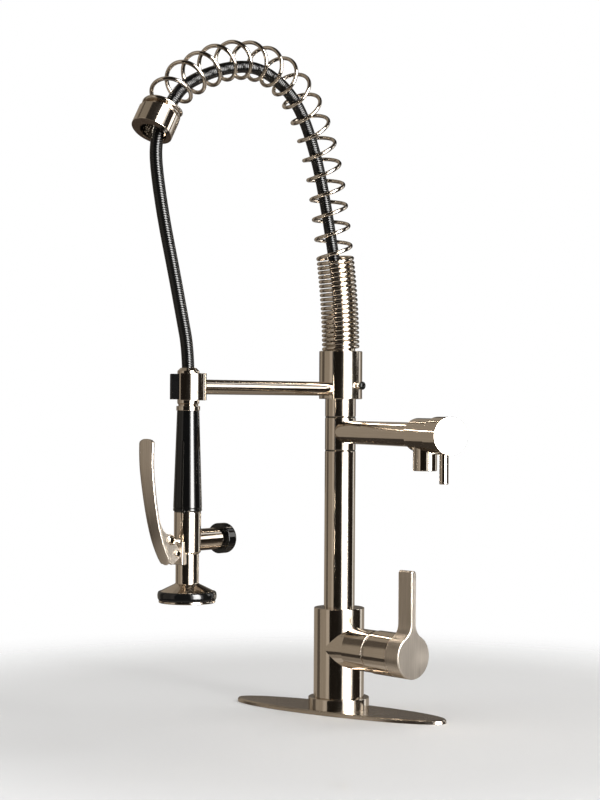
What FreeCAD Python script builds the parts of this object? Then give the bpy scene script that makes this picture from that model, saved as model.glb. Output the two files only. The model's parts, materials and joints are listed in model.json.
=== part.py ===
"""Spring kitchen faucet with a pot filler: every piece as its own solid.

Millimetres, +Z up. The origin is on the column's axis at the deck's top face.
The spray arm points along -Y, and the deck plate lies roughly along X.
"""
import FreeCAD
import Part
import math
import os

V = FreeCAD.Vector
UP = V(0, 0, 1)

# Fits
RUN_GAP = 0.06          # radial clearance of a running fit
SEAT_GAP = 0.05         # clearance of pieces that are fastened together
FACE_GAP = 0.1          # gap between flat faces that turn past each other
SOFT_GAP = 0.3          # gap beside a soft or loose piece

# Deck plate and ring
PLATE_LENGTH = 260.0
PLATE_WIDTH = 67.0
PLATE_THICK = 3.4
PLATE_EDGE = 1.2
PLATE_TURN = 5.0        # degrees that the plate is turned against the spray arm
GASKET_THICK = 1.0
GASKET_INSET = 2.0
RING_RADIUS = 32.0
RING_HEIGHT = 12.0
RING_EDGE = 0.8

# Shank under the deck
SHANK_RADIUS = 15.5
SHANK_BORE = 12.5
SHANK_DROP = 58.0
SHANK_IN_BODY = 16.0
DECK_GRIP = 30.0        # counter thickness held between gasket and washer
WASHER_RADIUS = 27.0
RUBBER_WASHER_THICK = 3.0
STEEL_WASHER_THICK = 2.0
NUT_RADIUS = 25.0
NUT_HEIGHT = 10.0
NUT_WING = 5.0
INLET_RADIUS = 4.6
INLET_BORE = 3.0
INLET_OFFSET = 6.2
INLET_DROP = 80.0
INLET_THREAD_RADIUS = 5.6
INLET_THREAD_LENGTH = 14.0

# Valve body and its stub
BODY_RADIUS = 26.5
BODY_HEIGHT = 93.6
BODY_EDGE = 0.8
STUB_RISE = 52.3        # the stub's axis above the body's foot
STUB_RADIUS = 21.8
STUB_REACH = 60.0
HANDLE_TURN = 9.0       # degrees that the handle is turned from +X to the front

# Pole
POLE_RADIUS = 16.2
POLE_IN_BODY = 8.0
CORE_RADIUS = 12.0
CORE_BORE = 8.5
CORE_IN_BODY = 18.0
LOWER_SHOWN = 165.1      # pole between the body and the spout's swivel
SWIVEL_HEIGHT = 34.4
SLIP_THICK = 0.7
SEAL_WIRE = 1.4
SEAL_OFFSET = 5.0
PORT_RADIUS = 3.0       # ports from the riser to the spout
PORT_GROOVE = 1.2
UPPER_SHOWN = 19.4       # pole between the swivel and the spray arm's collar

# Mixing cartridge and handle
CART_RADIUS = 17.6
CART_LENGTH = 30.0
CART_NUT_LENGTH = 7.0
CART_NUT_HOLE = 10.4
TRIM_LENGTH = 1.2
TILT_DEPTH = 15.0       # the tilt axis lies this far inside the stub's end
CARRIER_RADIUS = 12.6
CARRIER_FLOOR = 2.0
CARRIER_BORE = 7.6
CARRIER_PIN_RADIUS = 1.5
STEM_RADIUS = 4.4
STEM_TAIL = 3.6
STEM_SWING = 1.6        # room behind the stem's tail when it tilts
STEM_IN_HUB = 12.0
HUB_RADIUS = 22.5
HUB_WALL = 3.4
HUB_LENGTH = 32.0
HUB_SEAM = 1.0
HUB_CAVITY = 19.0
HUB_RIM_LIP = 0.5
HUB_RIM_TAPER = 6.0
BLADE_DEPTH = 19.0
BLADE_THICK = 7.0
BLADE_RISE = 87.0
BLADE_FILLET = 16.0
SET_SCREW_RADIUS = 2.0
SET_SCREW_SUNK = 1.0

# Pot filler
SPOUT_TURN = 25.8       # degrees that the spout is turned from +X to the front
SPOUT_RISE = 19.2       # the spout's axis above the swivel's lower end
SPOUT_TUBE_RADIUS = 12.0
SPOUT_TUBE_BORE = 8.6
SLEEVE_START = 175.0
SLEEVE_RADIUS = 16.4
SLEEVE_LENGTH = 41.0
SLEEVE_SOCKET = 8.0
OUTLET_FROM_START = 15.0
OUTLET_RADIUS = 11.6
OUTLET_BORE = 9.8
OUTLET_DROP = 34.4      # below the spout's axis
AERATOR_HEIGHT = 8.0
AERATOR_HOLE = 1.2
SPOUT_VALVE_RADIUS = 11.0
SPOUT_VALVE_LENGTH = 11.0
SPINDLE_RADIUS = 4.0
SPINDLE_IN_VALVE = 7.0
KNOB_RADIUS = 18.1
KNOB_LENGTH = 25.0
KNOB_EDGE = 0.7
KNOB_FACE_EDGE = 3.0
KNOB_ROD_RADIUS = 4.4
KNOB_ROD_DROP = 45.8    # below the spout's axis
KNOB_ROD_SOCKET = 9.0
KNOB_ROD_BACK = 12.9     # behind the knob's face

# Spray arm
COLLAR_HEIGHT = 50.4
COLLAR_RADIUS = 22.7
COLLAR_EDGE = 0.8
COLLAR_LIP = 3.0        # depth of the collar's inner top flange
BUSH_WALL = 2.2
BUSH_LENGTH = 24.0
POLE_IN_COLLAR = 26.0
ARM_RISE = 10.5         # the arm's axis above the collar's lower end
ARM_RADIUS = 7.25
ARM_REACH = 233.0
CLIP_WALL = 3.4
CLIP_HEIGHT = 26.0
CLIP_MOUTH = 5.0        # how far the clip's arms reach in front of the handset's axis
CLIP_TURN = -45.0       # degrees that the clip's mouth is turned from -Y towards +X
LINER_WALL = 3.2
CLAMP_SCREW_RADIUS = 3.2
CLAMP_HEAD_RADIUS = 4.2
CLAMP_HEAD_THICK = 3.8
CLAMP_NECK = 4.4
CLAMP_RISE = 3.6        # the screw's axis above the arm's axis

# Hose and spring
HOSE_RADIUS = 6.0
HOSE_BORE = 4.0
NIPPLE_LENGTH = 16.0
NIPPLE_WALL = 1.7
NIPPLE_FLANGE = 2.0
SEAT_HEIGHT = 7.0
SEAT_WALL = 3.0
SPRING_RADIUS = 17.8    # to the middle of the wire
WIRE_RADIUS = 2.0
CLOSE_TURNS = 20
CLOSE_PITCH = 4.8
OPEN_TURNS = 17.4
PITCH_GAIN = 0.3        # millimetres that the open pitch grows in each turn
END_TURNS = 1.1         # closed turns that rest on the bell
END_PITCH = 4.6
BELL_RADIUS = 20.2
BELL_LENGTH = 23.5
BELL_SPIGOT = 8.0       # inside the spring's last turns
BELL_FLOOR = 6.0
BELL_HOLE = 16.0
SPIGOT_WALL = 1.4
BELL_EDGE = 0.8

# Spine of the spring, seen from the side: distance out along -Y, height above the collar
SPINE = [(0, 0), (1, 27.2), (4.5, 61.2), (10, 95.2), (18, 137.2), (29, 187.2), (52, 239.2), (88, 274.7),
         (132, 286.7), (178, 283.2), (222, 266.8), (256.1, 249.1), (285.5, 199.2)]
# Hose inside the spring, and from the bell down to the handset, in the same way
HOSE_ARCH = [(0, -16.7), (0, 10), (2, 39.2), (7.5, 75.2), (15.5, 109.2), (26, 149.2), (41, 197.2), (67, 245.9),
             (101, 270.5), (140, 280.5), (182, 273.4), (222, 258.5), (251.5, 241.5), (265.5, 220)]
HOSE_DROP = [(265.5, 220), (271.94, 210.11), (276.6, 199), (279.2, 187.3), (279.5, 173), (275, 147),
             (267, 113), (254, 69.2), (243, 29.2), (233, -7.3), (233, -43.3)]

# Handset
NECK_ABOVE_ARM = 18.1
NECK_LENGTH = 36.5      # from its top to the band
NECK_RADIUS = 10.55
NECK_CHAMFER = 3.0
NECK_GROOVE = 1.0
NECK_GROOVE_HEIGHT = 1.5
BAND_HEIGHT = 4.5
BAND_RADIUS = 11.4
GRIP_LENGTH = 97.0
GRIP_TOP_RADIUS = 10.7
GRIP_LOW_RADIUS = 13.9
GRIP_EDGE = 1.5
TUBE_RADIUS = 8.0
TUBE_BORE = 6.0
TUBE_INSERT = 10.0
SPRAY_BODY_RADIUS = 13.0
SPRAY_BODY_LENGTH = 40.0
SPRAY_NECK_RADIUS = 11.2
SPRAY_NECK_LENGTH = 27.5
SPRAY_BORE = 5.0
NOZZLE_RADIUS = 26.0
NOZZLE_WALL = 2.0
NOZZLE_HEIGHT = 19.3
NOZZLE_FLARE = 8.3
RIM_BULGE = 2.4
LIP_HEIGHT = 2.4        # the nozzle's lip under the rim
LIP_OUT = 1.2
SPRAY_PLATE_SUNK = 1.5
SPRAY_PLATE_THICK = 2.5
SPRAY_HOLE = 0.9
VALVE_DROP = 27.5       # the bonnet's axis below the grip
BONNET_RADIUS = 10.6
BONNET_LENGTH = 34.5    # beyond the spray body's side
BONNET_WALL = 2.6
BONNET_SEAT = 2.4       # the valve's seat beyond the spray body's side
CAP_RADIUS = 14.8
CAP_LENGTH = 12.5
CAP_OVERLAP = 4.0
CAP_EDGE = 3.5

# Trigger
PIVOT_STANDOFF = 8.5    # from the spray body's side
NOSE_ARM = 13.0         # from the pivot up to the push pin
PUSH_RISE = 2.0         # the push pin above the plunger's axis
NOSE_OUT = 8.0          # from the pivot out to the push pin
NOSE_RADIUS = 2.6
NOSE_HEAD_RADIUS = 3.4
NOSE_HEAD_THICK = 1.4
PIN_RADIUS = 2.0
PIN_HEAD_RADIUS = 3.0
PIN_HEAD_THICK = 1.4
LUG_WIDTH = 8.0
LUG_RADIUS = 5.5
LEVER_WIDTH = 14.4
LEVER_THICK = 3.6
CHEEK_THICK = 2.6
CHEEK_RADIUS = 5.6
# Middle line of the lever's strap from the pivot: distance out along -Y, height
STRAP = [(6.5, -10), (16.5, 5), (25.5, 31), (32, 63), (35.5, 91), (34, 109)]
PLUNGER_RADIUS = 2.4
PLUNGER_HEAD_RADIUS = 3.6
PLUNGER_HEAD_THICK = 2.0
PLUNGER_DISC_RADIUS = 6.4
PLUNGER_DISC_THICK = 3.0
PLUNGER_SEAL_THICK = 1.6
PLUNGER_TAIL = 3.0
VALVE_SPRING_WIRE = 0.6
VALVE_SPRING_TURNS = 5

# Places worked out from the sizes above
PLATE_TOP = GASKET_THICK + PLATE_THICK
BODY_BOTTOM = PLATE_TOP + RING_HEIGHT
BODY_TOP = BODY_BOTTOM + BODY_HEIGHT
STUB_AXIS_Z = BODY_BOTTOM + STUB_RISE
SWIVEL_BOTTOM = BODY_TOP + LOWER_SHOWN
SWIVEL_TOP = SWIVEL_BOTTOM + SWIVEL_HEIGHT
SPOUT_Z = SWIVEL_BOTTOM + SPOUT_RISE
COLLAR_BOTTOM = SWIVEL_TOP + UPPER_SHOWN
COLLAR_TOP = COLLAR_BOTTOM + COLLAR_HEIGHT
CORE_TOP = COLLAR_TOP - COLLAR_LIP - NIPPLE_LENGTH
POLE_TOP = COLLAR_BOTTOM + POLE_IN_COLLAR
HUB_START = STUB_REACH + HUB_SEAM
HUB_END = HUB_START + HUB_LENGTH
TILT_AT = STUB_REACH - TILT_DEPTH
SLEEVE_END = SLEEVE_START + SLEEVE_LENGTH
KNOB_START = SLEEVE_END + FACE_GAP
KNOB_END = KNOB_START + KNOB_LENGTH
ARM_Z = COLLAR_BOTTOM + ARM_RISE
HANDSET_Y = -ARM_REACH
NECK_TOP = ARM_Z + NECK_ABOVE_ARM
BAND_TOP = NECK_TOP - NECK_LENGTH
GRIP_TOP = BAND_TOP - BAND_HEIGHT
GRIP_BOTTOM = GRIP_TOP - GRIP_LENGTH
SHOULDER_Z = GRIP_BOTTOM - SPRAY_BODY_LENGTH
NOZZLE_TOP = SHOULDER_Z - SPRAY_NECK_LENGTH
NOZZLE_BOTTOM = NOZZLE_TOP - NOZZLE_HEIGHT
VALVE_Z = GRIP_BOTTOM - VALVE_DROP
BONNET_REACH = SPRAY_BODY_RADIUS + BONNET_LENGTH
BONNET_BORE_START = SPRAY_BODY_RADIUS + BONNET_SEAT
PIVOT_OUT = SPRAY_BODY_RADIUS + PIVOT_STANDOFF
PIVOT_Z = VALVE_Z + PUSH_RISE - NOSE_ARM
PUSH_OUT = PIVOT_OUT + NOSE_OUT
LINER_INNER = NECK_RADIUS + SOFT_GAP
CLIP_INNER = LINER_INNER + LINER_WALL + SEAT_GAP
CLIP_RADIUS = CLIP_INNER + CLIP_WALL


def across(turn):
    """Unit vector in the deck's plane, turned from +X to the front by so many degrees."""
    angle = math.radians(turn)
    return V(math.cos(angle), -math.sin(angle), 0)


HANDLE_DIR = across(HANDLE_TURN)
SPOUT_DIR = across(SPOUT_TURN)


def cylinder(radius, low, high, x=0.0, y=0.0):
    return Part.makeCylinder(radius, high - low, V(x, y, low), UP)


def ring(outer, inner, low, high, x=0.0, y=0.0):
    return cylinder(outer, low, high, x, y).cut(cylinder(inner, low - 1, high + 1, x, y))


def bar(radius, start, end):
    return Part.makeCylinder(radius, (end - start).Length, start, end - start)


def pipe(outer, inner, start, end):
    reach = (end - start).normalize()
    return bar(outer, start, end).cut(bar(inner, start - reach, end + reach))


def turned(profile, x=0.0, y=0.0):
    """Solid of revolution about a vertical axis, from (radius, height) corners."""
    points = [V(x + r, y, z) for r, z in profile]
    face = Part.Face(Part.makePolygon(points + points[:1]))
    return face.revolve(V(x, y, 0), UP, 360)


def side_view(points, width, x=0.0, y=0.0, z=0.0):
    """Prism across X from (distance out along -Y, height) corners."""
    corners = [V(x - width / 2, y - out, z + up) for out, up in points]
    face = Part.Face(Part.makePolygon(corners + corners[:1]))
    return face.extrude(V(width, 0, 0))


def edges_at(shape, z, tolerance=1e-4):
    """Edges that lie flat at one height."""
    low = [e for e in shape.Edges if abs(e.BoundBox.ZMin - z) < tolerance]
    return [e for e in low if abs(e.BoundBox.ZMax - z) < tolerance]


def outer_edges_at(shape, z, radius, tolerance=1e-3):
    return [e for e in edges_at(shape, z) if abs(e.BoundBox.XLength - 2 * radius) < tolerance]


def write(name, shape):
    if not shape.isValid():
        print("not valid:", name)
    shape.exportStep("parts/%s.step" % name)
    print("%-22s solids %d  volume %.1f" % (name, len(shape.Solids), shape.Volume))


def write_all(pieces):
    os.makedirs("parts", exist_ok=True)
    for name, shape in pieces.items():
        write(name, shape)


def route(points):
    """Straight runs joined by tangent arcs, each as large as its two runs allow."""
    edges = []
    radii = []
    start = points[0]
    for before, corner, after in zip(points, points[1:], points[2:]):
        back = before - corner
        ahead = after - corner
        half_turn = (math.pi - back.getAngle(ahead)) / 2
        set_back = 0.45 * min(back.Length, ahead.Length)
        radius = set_back / math.tan(half_turn)
        first = corner + back.normalize() * set_back
        last = corner + ahead.normalize() * set_back
        inward = (back + ahead).normalize()
        middle = corner + inward * (radius / math.cos(half_turn) - radius)
        edges.append(Part.LineSegment(start, first).toShape())
        edges.append(Part.Arc(first, middle, last).toShape())
        radii.append(radius)
        start = last
    edges.append(Part.LineSegment(start, points[-1]).toShape())
    return edges, radii


def above_collar(points):
    """Side-view points, out along -Y and up from the collar, as places in the model."""
    return [V(0, -out, COLLAR_TOP + up) for out, up in points]


def swept(edges, radius):
    """Round solid along a chain of edges."""
    path = Part.Wire(edges)
    start = edges[0].valueAt(edges[0].FirstParameter)
    ahead = edges[0].tangentAt(edges[0].FirstParameter)
    section = Part.Wire([Part.makeCircle(radius, start, ahead)])
    return path.makePipeShell([section], True, False)


def hose(points, name):
    edges, radii = route(above_collar(points))
    length = sum(edge.Length for edge in edges)
    tube = swept(edges, HOSE_RADIUS).cut(swept(edges, HOSE_BORE))
    section = math.pi * (HOSE_RADIUS ** 2 - HOSE_BORE ** 2)
    print(name, "length %.1f" % length, "volume share %.4f" % (tube.Volume / section / length))
    print(name, "radii", " ".join("%.0f" % r for r in radii))
    return tube


def place_along(edges, distance):
    """Point and direction at a distance along a chain of edges."""
    for edge in edges:
        if distance <= edge.Length or edge is edges[-1]:
            at = edge.getParameterByLength(min(distance, edge.Length))
            return edge.valueAt(at), edge.tangentAt(at)
        distance -= edge.Length


def on_helix(edges, radius, travel, turn):
    """Point of a right-hand helix about a spine that lies in a plane of constant X."""
    centre, ahead = place_along(edges, travel(turn))
    side = V(1, 0, 0)
    inward = side.cross(ahead)
    angle = 2 * math.pi * turn
    return centre + inward * (radius * math.cos(angle)) + side * (radius * math.sin(angle))


def arc_from(start, direction, end):
    """Arc that leaves a point in a given direction and ends at another point."""
    chord = end - start
    normal = (chord - direction * chord.dot(direction)).normalize()
    radius = chord.Length ** 2 / (2 * chord.dot(normal))
    centre = start + normal * radius
    middle = centre + ((start + end) * 0.5 - centre).normalize() * radius
    return Part.Arc(start, middle, end).toShape()


def biarc(start, start_dir, end, end_dir):
    """Two tangent arcs from one point and direction to another."""
    chord = end - start
    total = start_dir + end_dir
    spread = 2 * (1 - start_dir.dot(end_dir))
    reach = (-chord.dot(total) + math.sqrt(chord.dot(total) ** 2 + spread * chord.dot(chord))) / spread
    joint = (start + start_dir * reach + end - end_dir * reach) * 0.5
    first = arc_from(start, start_dir, joint)
    second = arc_from(end, end_dir * -1, joint)
    return [first, second.reversed()]


def coil(edges, radius, wire, travel, turns, name):
    """One unbroken wound tube whose two ends run straight for one wire diameter."""
    step = 1e-3
    count = int(round(2 * turns))
    marks = [turns * i / count for i in range(count + 1)]
    points = [on_helix(edges, radius, travel, t) for t in marks]
    ways = []
    for t in marks:
        early = max(t - step, 0)
        late = min(t + step, turns)
        way = on_helix(edges, radius, travel, late) - on_helix(edges, radius, travel, early)
        ways.append(way.normalize())
    path = [Part.LineSegment(points[0] - ways[0] * (2 * wire), points[0]).toShape()]
    for i in range(count):
        path += biarc(points[i], ways[i], points[i + 1], ways[i + 1])
    path.append(Part.LineSegment(points[-1], points[-1] + ways[-1] * (2 * wire)).toShape())
    gap = least_gap(edges, radius, wire, travel, turns)
    print(name, "turns %g" % turns, "least gap to itself %.2f" % gap)
    return swept(path, wire)


def least_gap(edges, radius, wire, travel, turns):
    """Smallest room between neighbouring turns, measured on points."""
    per_turn = 24
    points = [on_helix(edges, radius, travel, i / per_turn) for i in range(int(turns * per_turn) + 1)]
    gaps = []
    for i, point in enumerate(points):
        near = points[i + per_turn - 3:i + per_turn + 4]
        gaps += [(point - other).Length - 2 * wire for other in near]
    return min(gaps)


def deck_pieces():
    """Plate, gasket and ring on the deck, and the clamp under it."""
    long_half = PLATE_LENGTH / 2
    wide_half = PLATE_WIDTH / 2
    hole = SHANK_RADIUS + 2 * SOFT_GAP

    def oval(inset, low, high):
        ellipse = Part.Ellipse(V(0, 0, low), long_half - inset, wide_half - inset)
        face = Part.Face(Part.Wire([ellipse.toShape()]))
        solid = face.extrude(V(0, 0, high - low))
        solid.rotate(V(0, 0, 0), UP, PLATE_TURN)
        return solid

    plate = oval(0, GASKET_THICK, PLATE_TOP)
    plate = plate.makeChamfer(PLATE_EDGE, edges_at(plate, PLATE_TOP))
    base_ring = cylinder(RING_RADIUS, PLATE_TOP, BODY_BOTTOM)
    base_ring = base_ring.makeChamfer(RING_EDGE, edges_at(base_ring, BODY_BOTTOM))
    rubber_top = -DECK_GRIP
    steel_top = rubber_top - RUBBER_WASHER_THICK
    nut_top = steel_top - STEEL_WASHER_THICK
    nut = cylinder(NUT_RADIUS - NUT_WING, nut_top - NUT_HEIGHT, nut_top)
    for i in range(4):
        angle = math.radians(45 + 90 * i)
        reach = V(math.cos(angle), math.sin(angle), 0) * (NUT_RADIUS - NUT_WING)
        nut = nut.fuse(cylinder(NUT_WING, nut_top - NUT_HEIGHT, nut_top, reach.x, reach.y))
    thread = cylinder(SHANK_RADIUS + SEAT_GAP, nut_top - NUT_HEIGHT - 1, 1)
    shank = ring(SHANK_RADIUS, SHANK_BORE, -SHANK_DROP, BODY_BOTTOM + SHANK_IN_BODY)
    return {
        "deck_plate": plate.cut(cylinder(hole, 0, PLATE_TOP + 1)),
        "deck_gasket": oval(GASKET_INSET, 0, GASKET_THICK).cut(cylinder(hole, -1, GASKET_THICK + 1)),
        "base_ring": base_ring.cut(cylinder(hole, 0, BODY_BOTTOM + 1)),
        "shank": shank,
        "shank_washer_rubber": cylinder(WASHER_RADIUS, steel_top, rubber_top).cut(thread),
        "shank_washer_steel": cylinder(WASHER_RADIUS, nut_top, steel_top).cut(thread),
        "shank_nut": nut.cut(thread),
        "hot_inlet": inlet(-INLET_OFFSET),
        "cold_inlet": inlet(INLET_OFFSET),
    }


def inlet(x):
    """Supply tail that runs down through the shank to a male thread."""
    top = BODY_BOTTOM + SHANK_IN_BODY
    thread_top = -INLET_DROP + INLET_THREAD_LENGTH
    tail = cylinder(INLET_RADIUS, -INLET_DROP, top, x)
    tail = tail.fuse(cylinder(INLET_THREAD_RADIUS, -INLET_DROP, thread_top, x))
    return tail.cut(cylinder(INLET_BORE, -INLET_DROP - 1, top + 1, x))


def on_stub(along, side=0.0, up=0.0):
    """Place measured along the stub's axis, across it, and up from it."""
    return HANDLE_DIR * along + UP.cross(HANDLE_DIR) * side + UP * (STUB_AXIS_Z + up)


def body_pieces():
    """Valve body with its side stub, and the mixing cartridge in the stub."""
    body = cylinder(BODY_RADIUS, BODY_BOTTOM, BODY_TOP)
    body = body.makeChamfer(BODY_EDGE, outer_edges_at(body, BODY_TOP, BODY_RADIUS))
    body = body.fuse(bar(STUB_RADIUS, on_stub(0), on_stub(STUB_REACH - TRIM_LENGTH)))
    cart_start = STUB_REACH - TRIM_LENGTH - CART_NUT_LENGTH - CART_LENGTH
    cart_end = cart_start + CART_LENGTH
    body = body.cut(bar(CART_RADIUS + SEAT_GAP, on_stub(cart_start), on_stub(STUB_REACH + 1)))
    body = body.cut(cylinder(SHANK_RADIUS + SEAT_GAP, BODY_BOTTOM - 1, BODY_BOTTOM + SHANK_IN_BODY))
    body = body.cut(cylinder(CORE_BORE, BODY_BOTTOM, BODY_TOP))
    body = body.cut(cylinder(CORE_RADIUS + SEAT_GAP, BODY_TOP - CORE_IN_BODY, BODY_TOP + 1))
    body = body.cut(cylinder(POLE_RADIUS + SEAT_GAP, BODY_TOP - POLE_IN_BODY, BODY_TOP + 1))
    floor = TILT_AT - STEM_TAIL - STEM_SWING
    carrier_start = floor - CARRIER_FLOOR
    carrier_end = cart_end - FACE_GAP
    housing = bar(CART_RADIUS, on_stub(cart_start), on_stub(cart_end))
    carrier_back = on_stub(carrier_start - FACE_GAP)
    housing = housing.cut(bar(CARRIER_RADIUS + RUN_GAP, carrier_back, on_stub(cart_end + 1)))
    nut = pipe(CART_RADIUS, CART_NUT_HOLE, on_stub(cart_end), on_stub(cart_end + CART_NUT_LENGTH))
    trim = pipe(STUB_RADIUS - SOFT_GAP, CART_RADIUS + SEAT_GAP,
                on_stub(STUB_REACH - TRIM_LENGTH), on_stub(STUB_REACH))
    carrier = bar(CARRIER_RADIUS, on_stub(carrier_start), on_stub(carrier_end))
    carrier = carrier.cut(bar(CARRIER_BORE, on_stub(floor), on_stub(carrier_end + 1)))
    pin_half = CARRIER_RADIUS - SOFT_GAP
    pin = bar(CARRIER_PIN_RADIUS, on_stub(TILT_AT, -pin_half), on_stub(TILT_AT, pin_half))
    pin_hole = bar(CARRIER_PIN_RADIUS + SEAT_GAP, on_stub(TILT_AT, -pin_half), on_stub(TILT_AT, pin_half))
    return {
        "valve_body": body,
        "cartridge_housing": housing,
        "cartridge_nut": nut,
        "trim_ring": trim,
        "cartridge_carrier": carrier.cut(pin_hole),
        "carrier_pin": pin,
    }


def handle_pieces():
    """Hub that tilts over the stub's end, lever with its teardrop face, and the stem inside."""
    cavity_end = HUB_START + HUB_CAVITY
    inner = HUB_RADIUS - HUB_WALL
    hub = bar(HUB_RADIUS, on_stub(HUB_START), on_stub(HUB_END))
    hub = hub.cut(bar(inner, on_stub(HUB_START - 1), on_stub(cavity_end)))
    taper = Part.makeCone(HUB_RADIUS - HUB_RIM_LIP, inner, HUB_RIM_TAPER, on_stub(HUB_START), HANDLE_DIR)
    hub = hub.cut(taper)
    stem_start = TILT_AT - STEM_TAIL
    stem_end = cavity_end + STEM_IN_HUB
    hub = hub.cut(bar(STEM_RADIUS + SEAT_GAP, on_stub(cavity_end - 1), on_stub(stem_end)))
    screw_at = cavity_end + STEM_IN_HUB / 2
    screw_top = on_stub(screw_at, 0, -STEM_RADIUS - SEAT_GAP)
    screw_low = on_stub(screw_at, 0, -HUB_RADIUS + SET_SCREW_SUNK)
    hub = hub.cut(bar(SET_SCREW_RADIUS + SEAT_GAP, screw_top, on_stub(screw_at, 0, -HUB_RADIUS - 1)))
    stem = bar(STEM_RADIUS, on_stub(stem_start), on_stub(stem_end))
    pin_room = CARRIER_PIN_RADIUS + RUN_GAP
    stem = stem.cut(bar(pin_room, on_stub(TILT_AT, -STEM_RADIUS - 1), on_stub(TILT_AT, STEM_RADIUS + 1)))
    return {
        "handle_hub": hub,
        "handle_lever": lever_blade(),
        "cartridge_stem": stem,
        "handle_set_screw": bar(SET_SCREW_RADIUS, screw_low, screw_top),
    }


def lever_blade():
    """Teardrop: the hub's circle drawn up by two hollow arcs into a thin round-topped blade."""
    half = BLADE_THICK / 2
    fillet_side = half + BLADE_FILLET
    reach = HUB_RADIUS + BLADE_FILLET
    fillet_up = math.sqrt(reach ** 2 - fillet_side ** 2)
    share = HUB_RADIUS / reach
    slant = math.atan2(fillet_up, fillet_side)
    bow = slant / 2

    def spot(side, up):
        return on_stub(HUB_END, side, up)

    def hollow(sign):
        low = spot(sign * fillet_side * share, fillet_up * share)
        bow_side = fillet_side - BLADE_FILLET * math.cos(bow)
        middle = spot(sign * bow_side, fillet_up - BLADE_FILLET * math.sin(bow))
        high = spot(sign * half, fillet_up)
        return low, middle, high

    top = BLADE_RISE - half
    right_low, right_mid, right_high = hollow(1)
    left_low, left_mid, left_high = hollow(-1)
    outline = Part.Wire([
        Part.Arc(left_low, spot(0, -HUB_RADIUS), right_low).toShape(),
        Part.Arc(right_low, right_mid, right_high).toShape(),
        Part.LineSegment(right_high, spot(half, top)).toShape(),
        Part.Arc(spot(half, top), spot(0, BLADE_RISE), spot(-half, top)).toShape(),
        Part.LineSegment(spot(-half, top), left_high).toShape(),
        Part.Arc(left_high, left_mid, left_low).toShape(),
    ])
    return Part.Face(outline).extrude(HANDLE_DIR * BLADE_DEPTH)


def pole_pieces():
    """Pole in two lengths round one riser, with the room for the spout's swivel between them."""
    inner = CORE_RADIUS + SEAT_GAP
    low_end = SWIVEL_BOTTOM - SLIP_THICK
    high_start = SWIVEL_TOP + SLIP_THICK
    core = ring(CORE_RADIUS, CORE_BORE, BODY_TOP - CORE_IN_BODY, CORE_TOP)
    seals = []
    for z in (SWIVEL_BOTTOM + SEAL_OFFSET, SWIVEL_TOP - SEAL_OFFSET):
        core = core.cut(ring(CORE_RADIUS + 1, CORE_RADIUS - SEAL_WIRE, z - SEAL_WIRE, z + SEAL_WIRE))
        seals.append(ring(CORE_RADIUS, CORE_RADIUS - SEAL_WIRE, z - SEAL_WIRE, z + SEAL_WIRE))
    port_low = SPOUT_Z - PORT_RADIUS
    core = core.cut(ring(CORE_RADIUS + 1, CORE_RADIUS - PORT_GROOVE, port_low, SPOUT_Z + PORT_RADIUS))
    for way in (SPOUT_DIR, UP.cross(SPOUT_DIR)):
        reach = way * (CORE_RADIUS + 1)
        core = core.cut(bar(PORT_RADIUS, UP * SPOUT_Z - reach, UP * SPOUT_Z + reach))
    washers = [ring(POLE_RADIUS - SOFT_GAP, inner, low_end, SWIVEL_BOTTOM - FACE_GAP / 2),
               ring(POLE_RADIUS - SOFT_GAP, inner, SWIVEL_TOP + FACE_GAP / 2, high_start)]
    barb = HOSE_BORE - SOFT_GAP
    nipple = cylinder(CORE_RADIUS - NIPPLE_FLANGE, CORE_TOP, CORE_TOP + NIPPLE_FLANGE)
    nipple = nipple.fuse(cylinder(barb, CORE_TOP, CORE_TOP + NIPPLE_LENGTH - COLLAR_LIP))
    nipple = nipple.cut(cylinder(barb - NIPPLE_WALL, CORE_TOP - 1, CORE_TOP + NIPPLE_LENGTH))
    return {
        "pole_lower": ring(POLE_RADIUS, inner, BODY_TOP - POLE_IN_BODY, low_end),
        "pole_upper": ring(POLE_RADIUS, inner, high_start, POLE_TOP),
        "riser_core": core,
        "swivel_seals": Part.makeCompound(seals),
        "slip_washers": Part.makeCompound(washers),
        "hose_nipple": nipple,
    }


def on_spout(along, side=0.0, up=0.0):
    """Place measured along the spout's axis, across it, and up from it."""
    return SPOUT_DIR * along + UP.cross(SPOUT_DIR) * side + UP * (SPOUT_Z + up)


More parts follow.
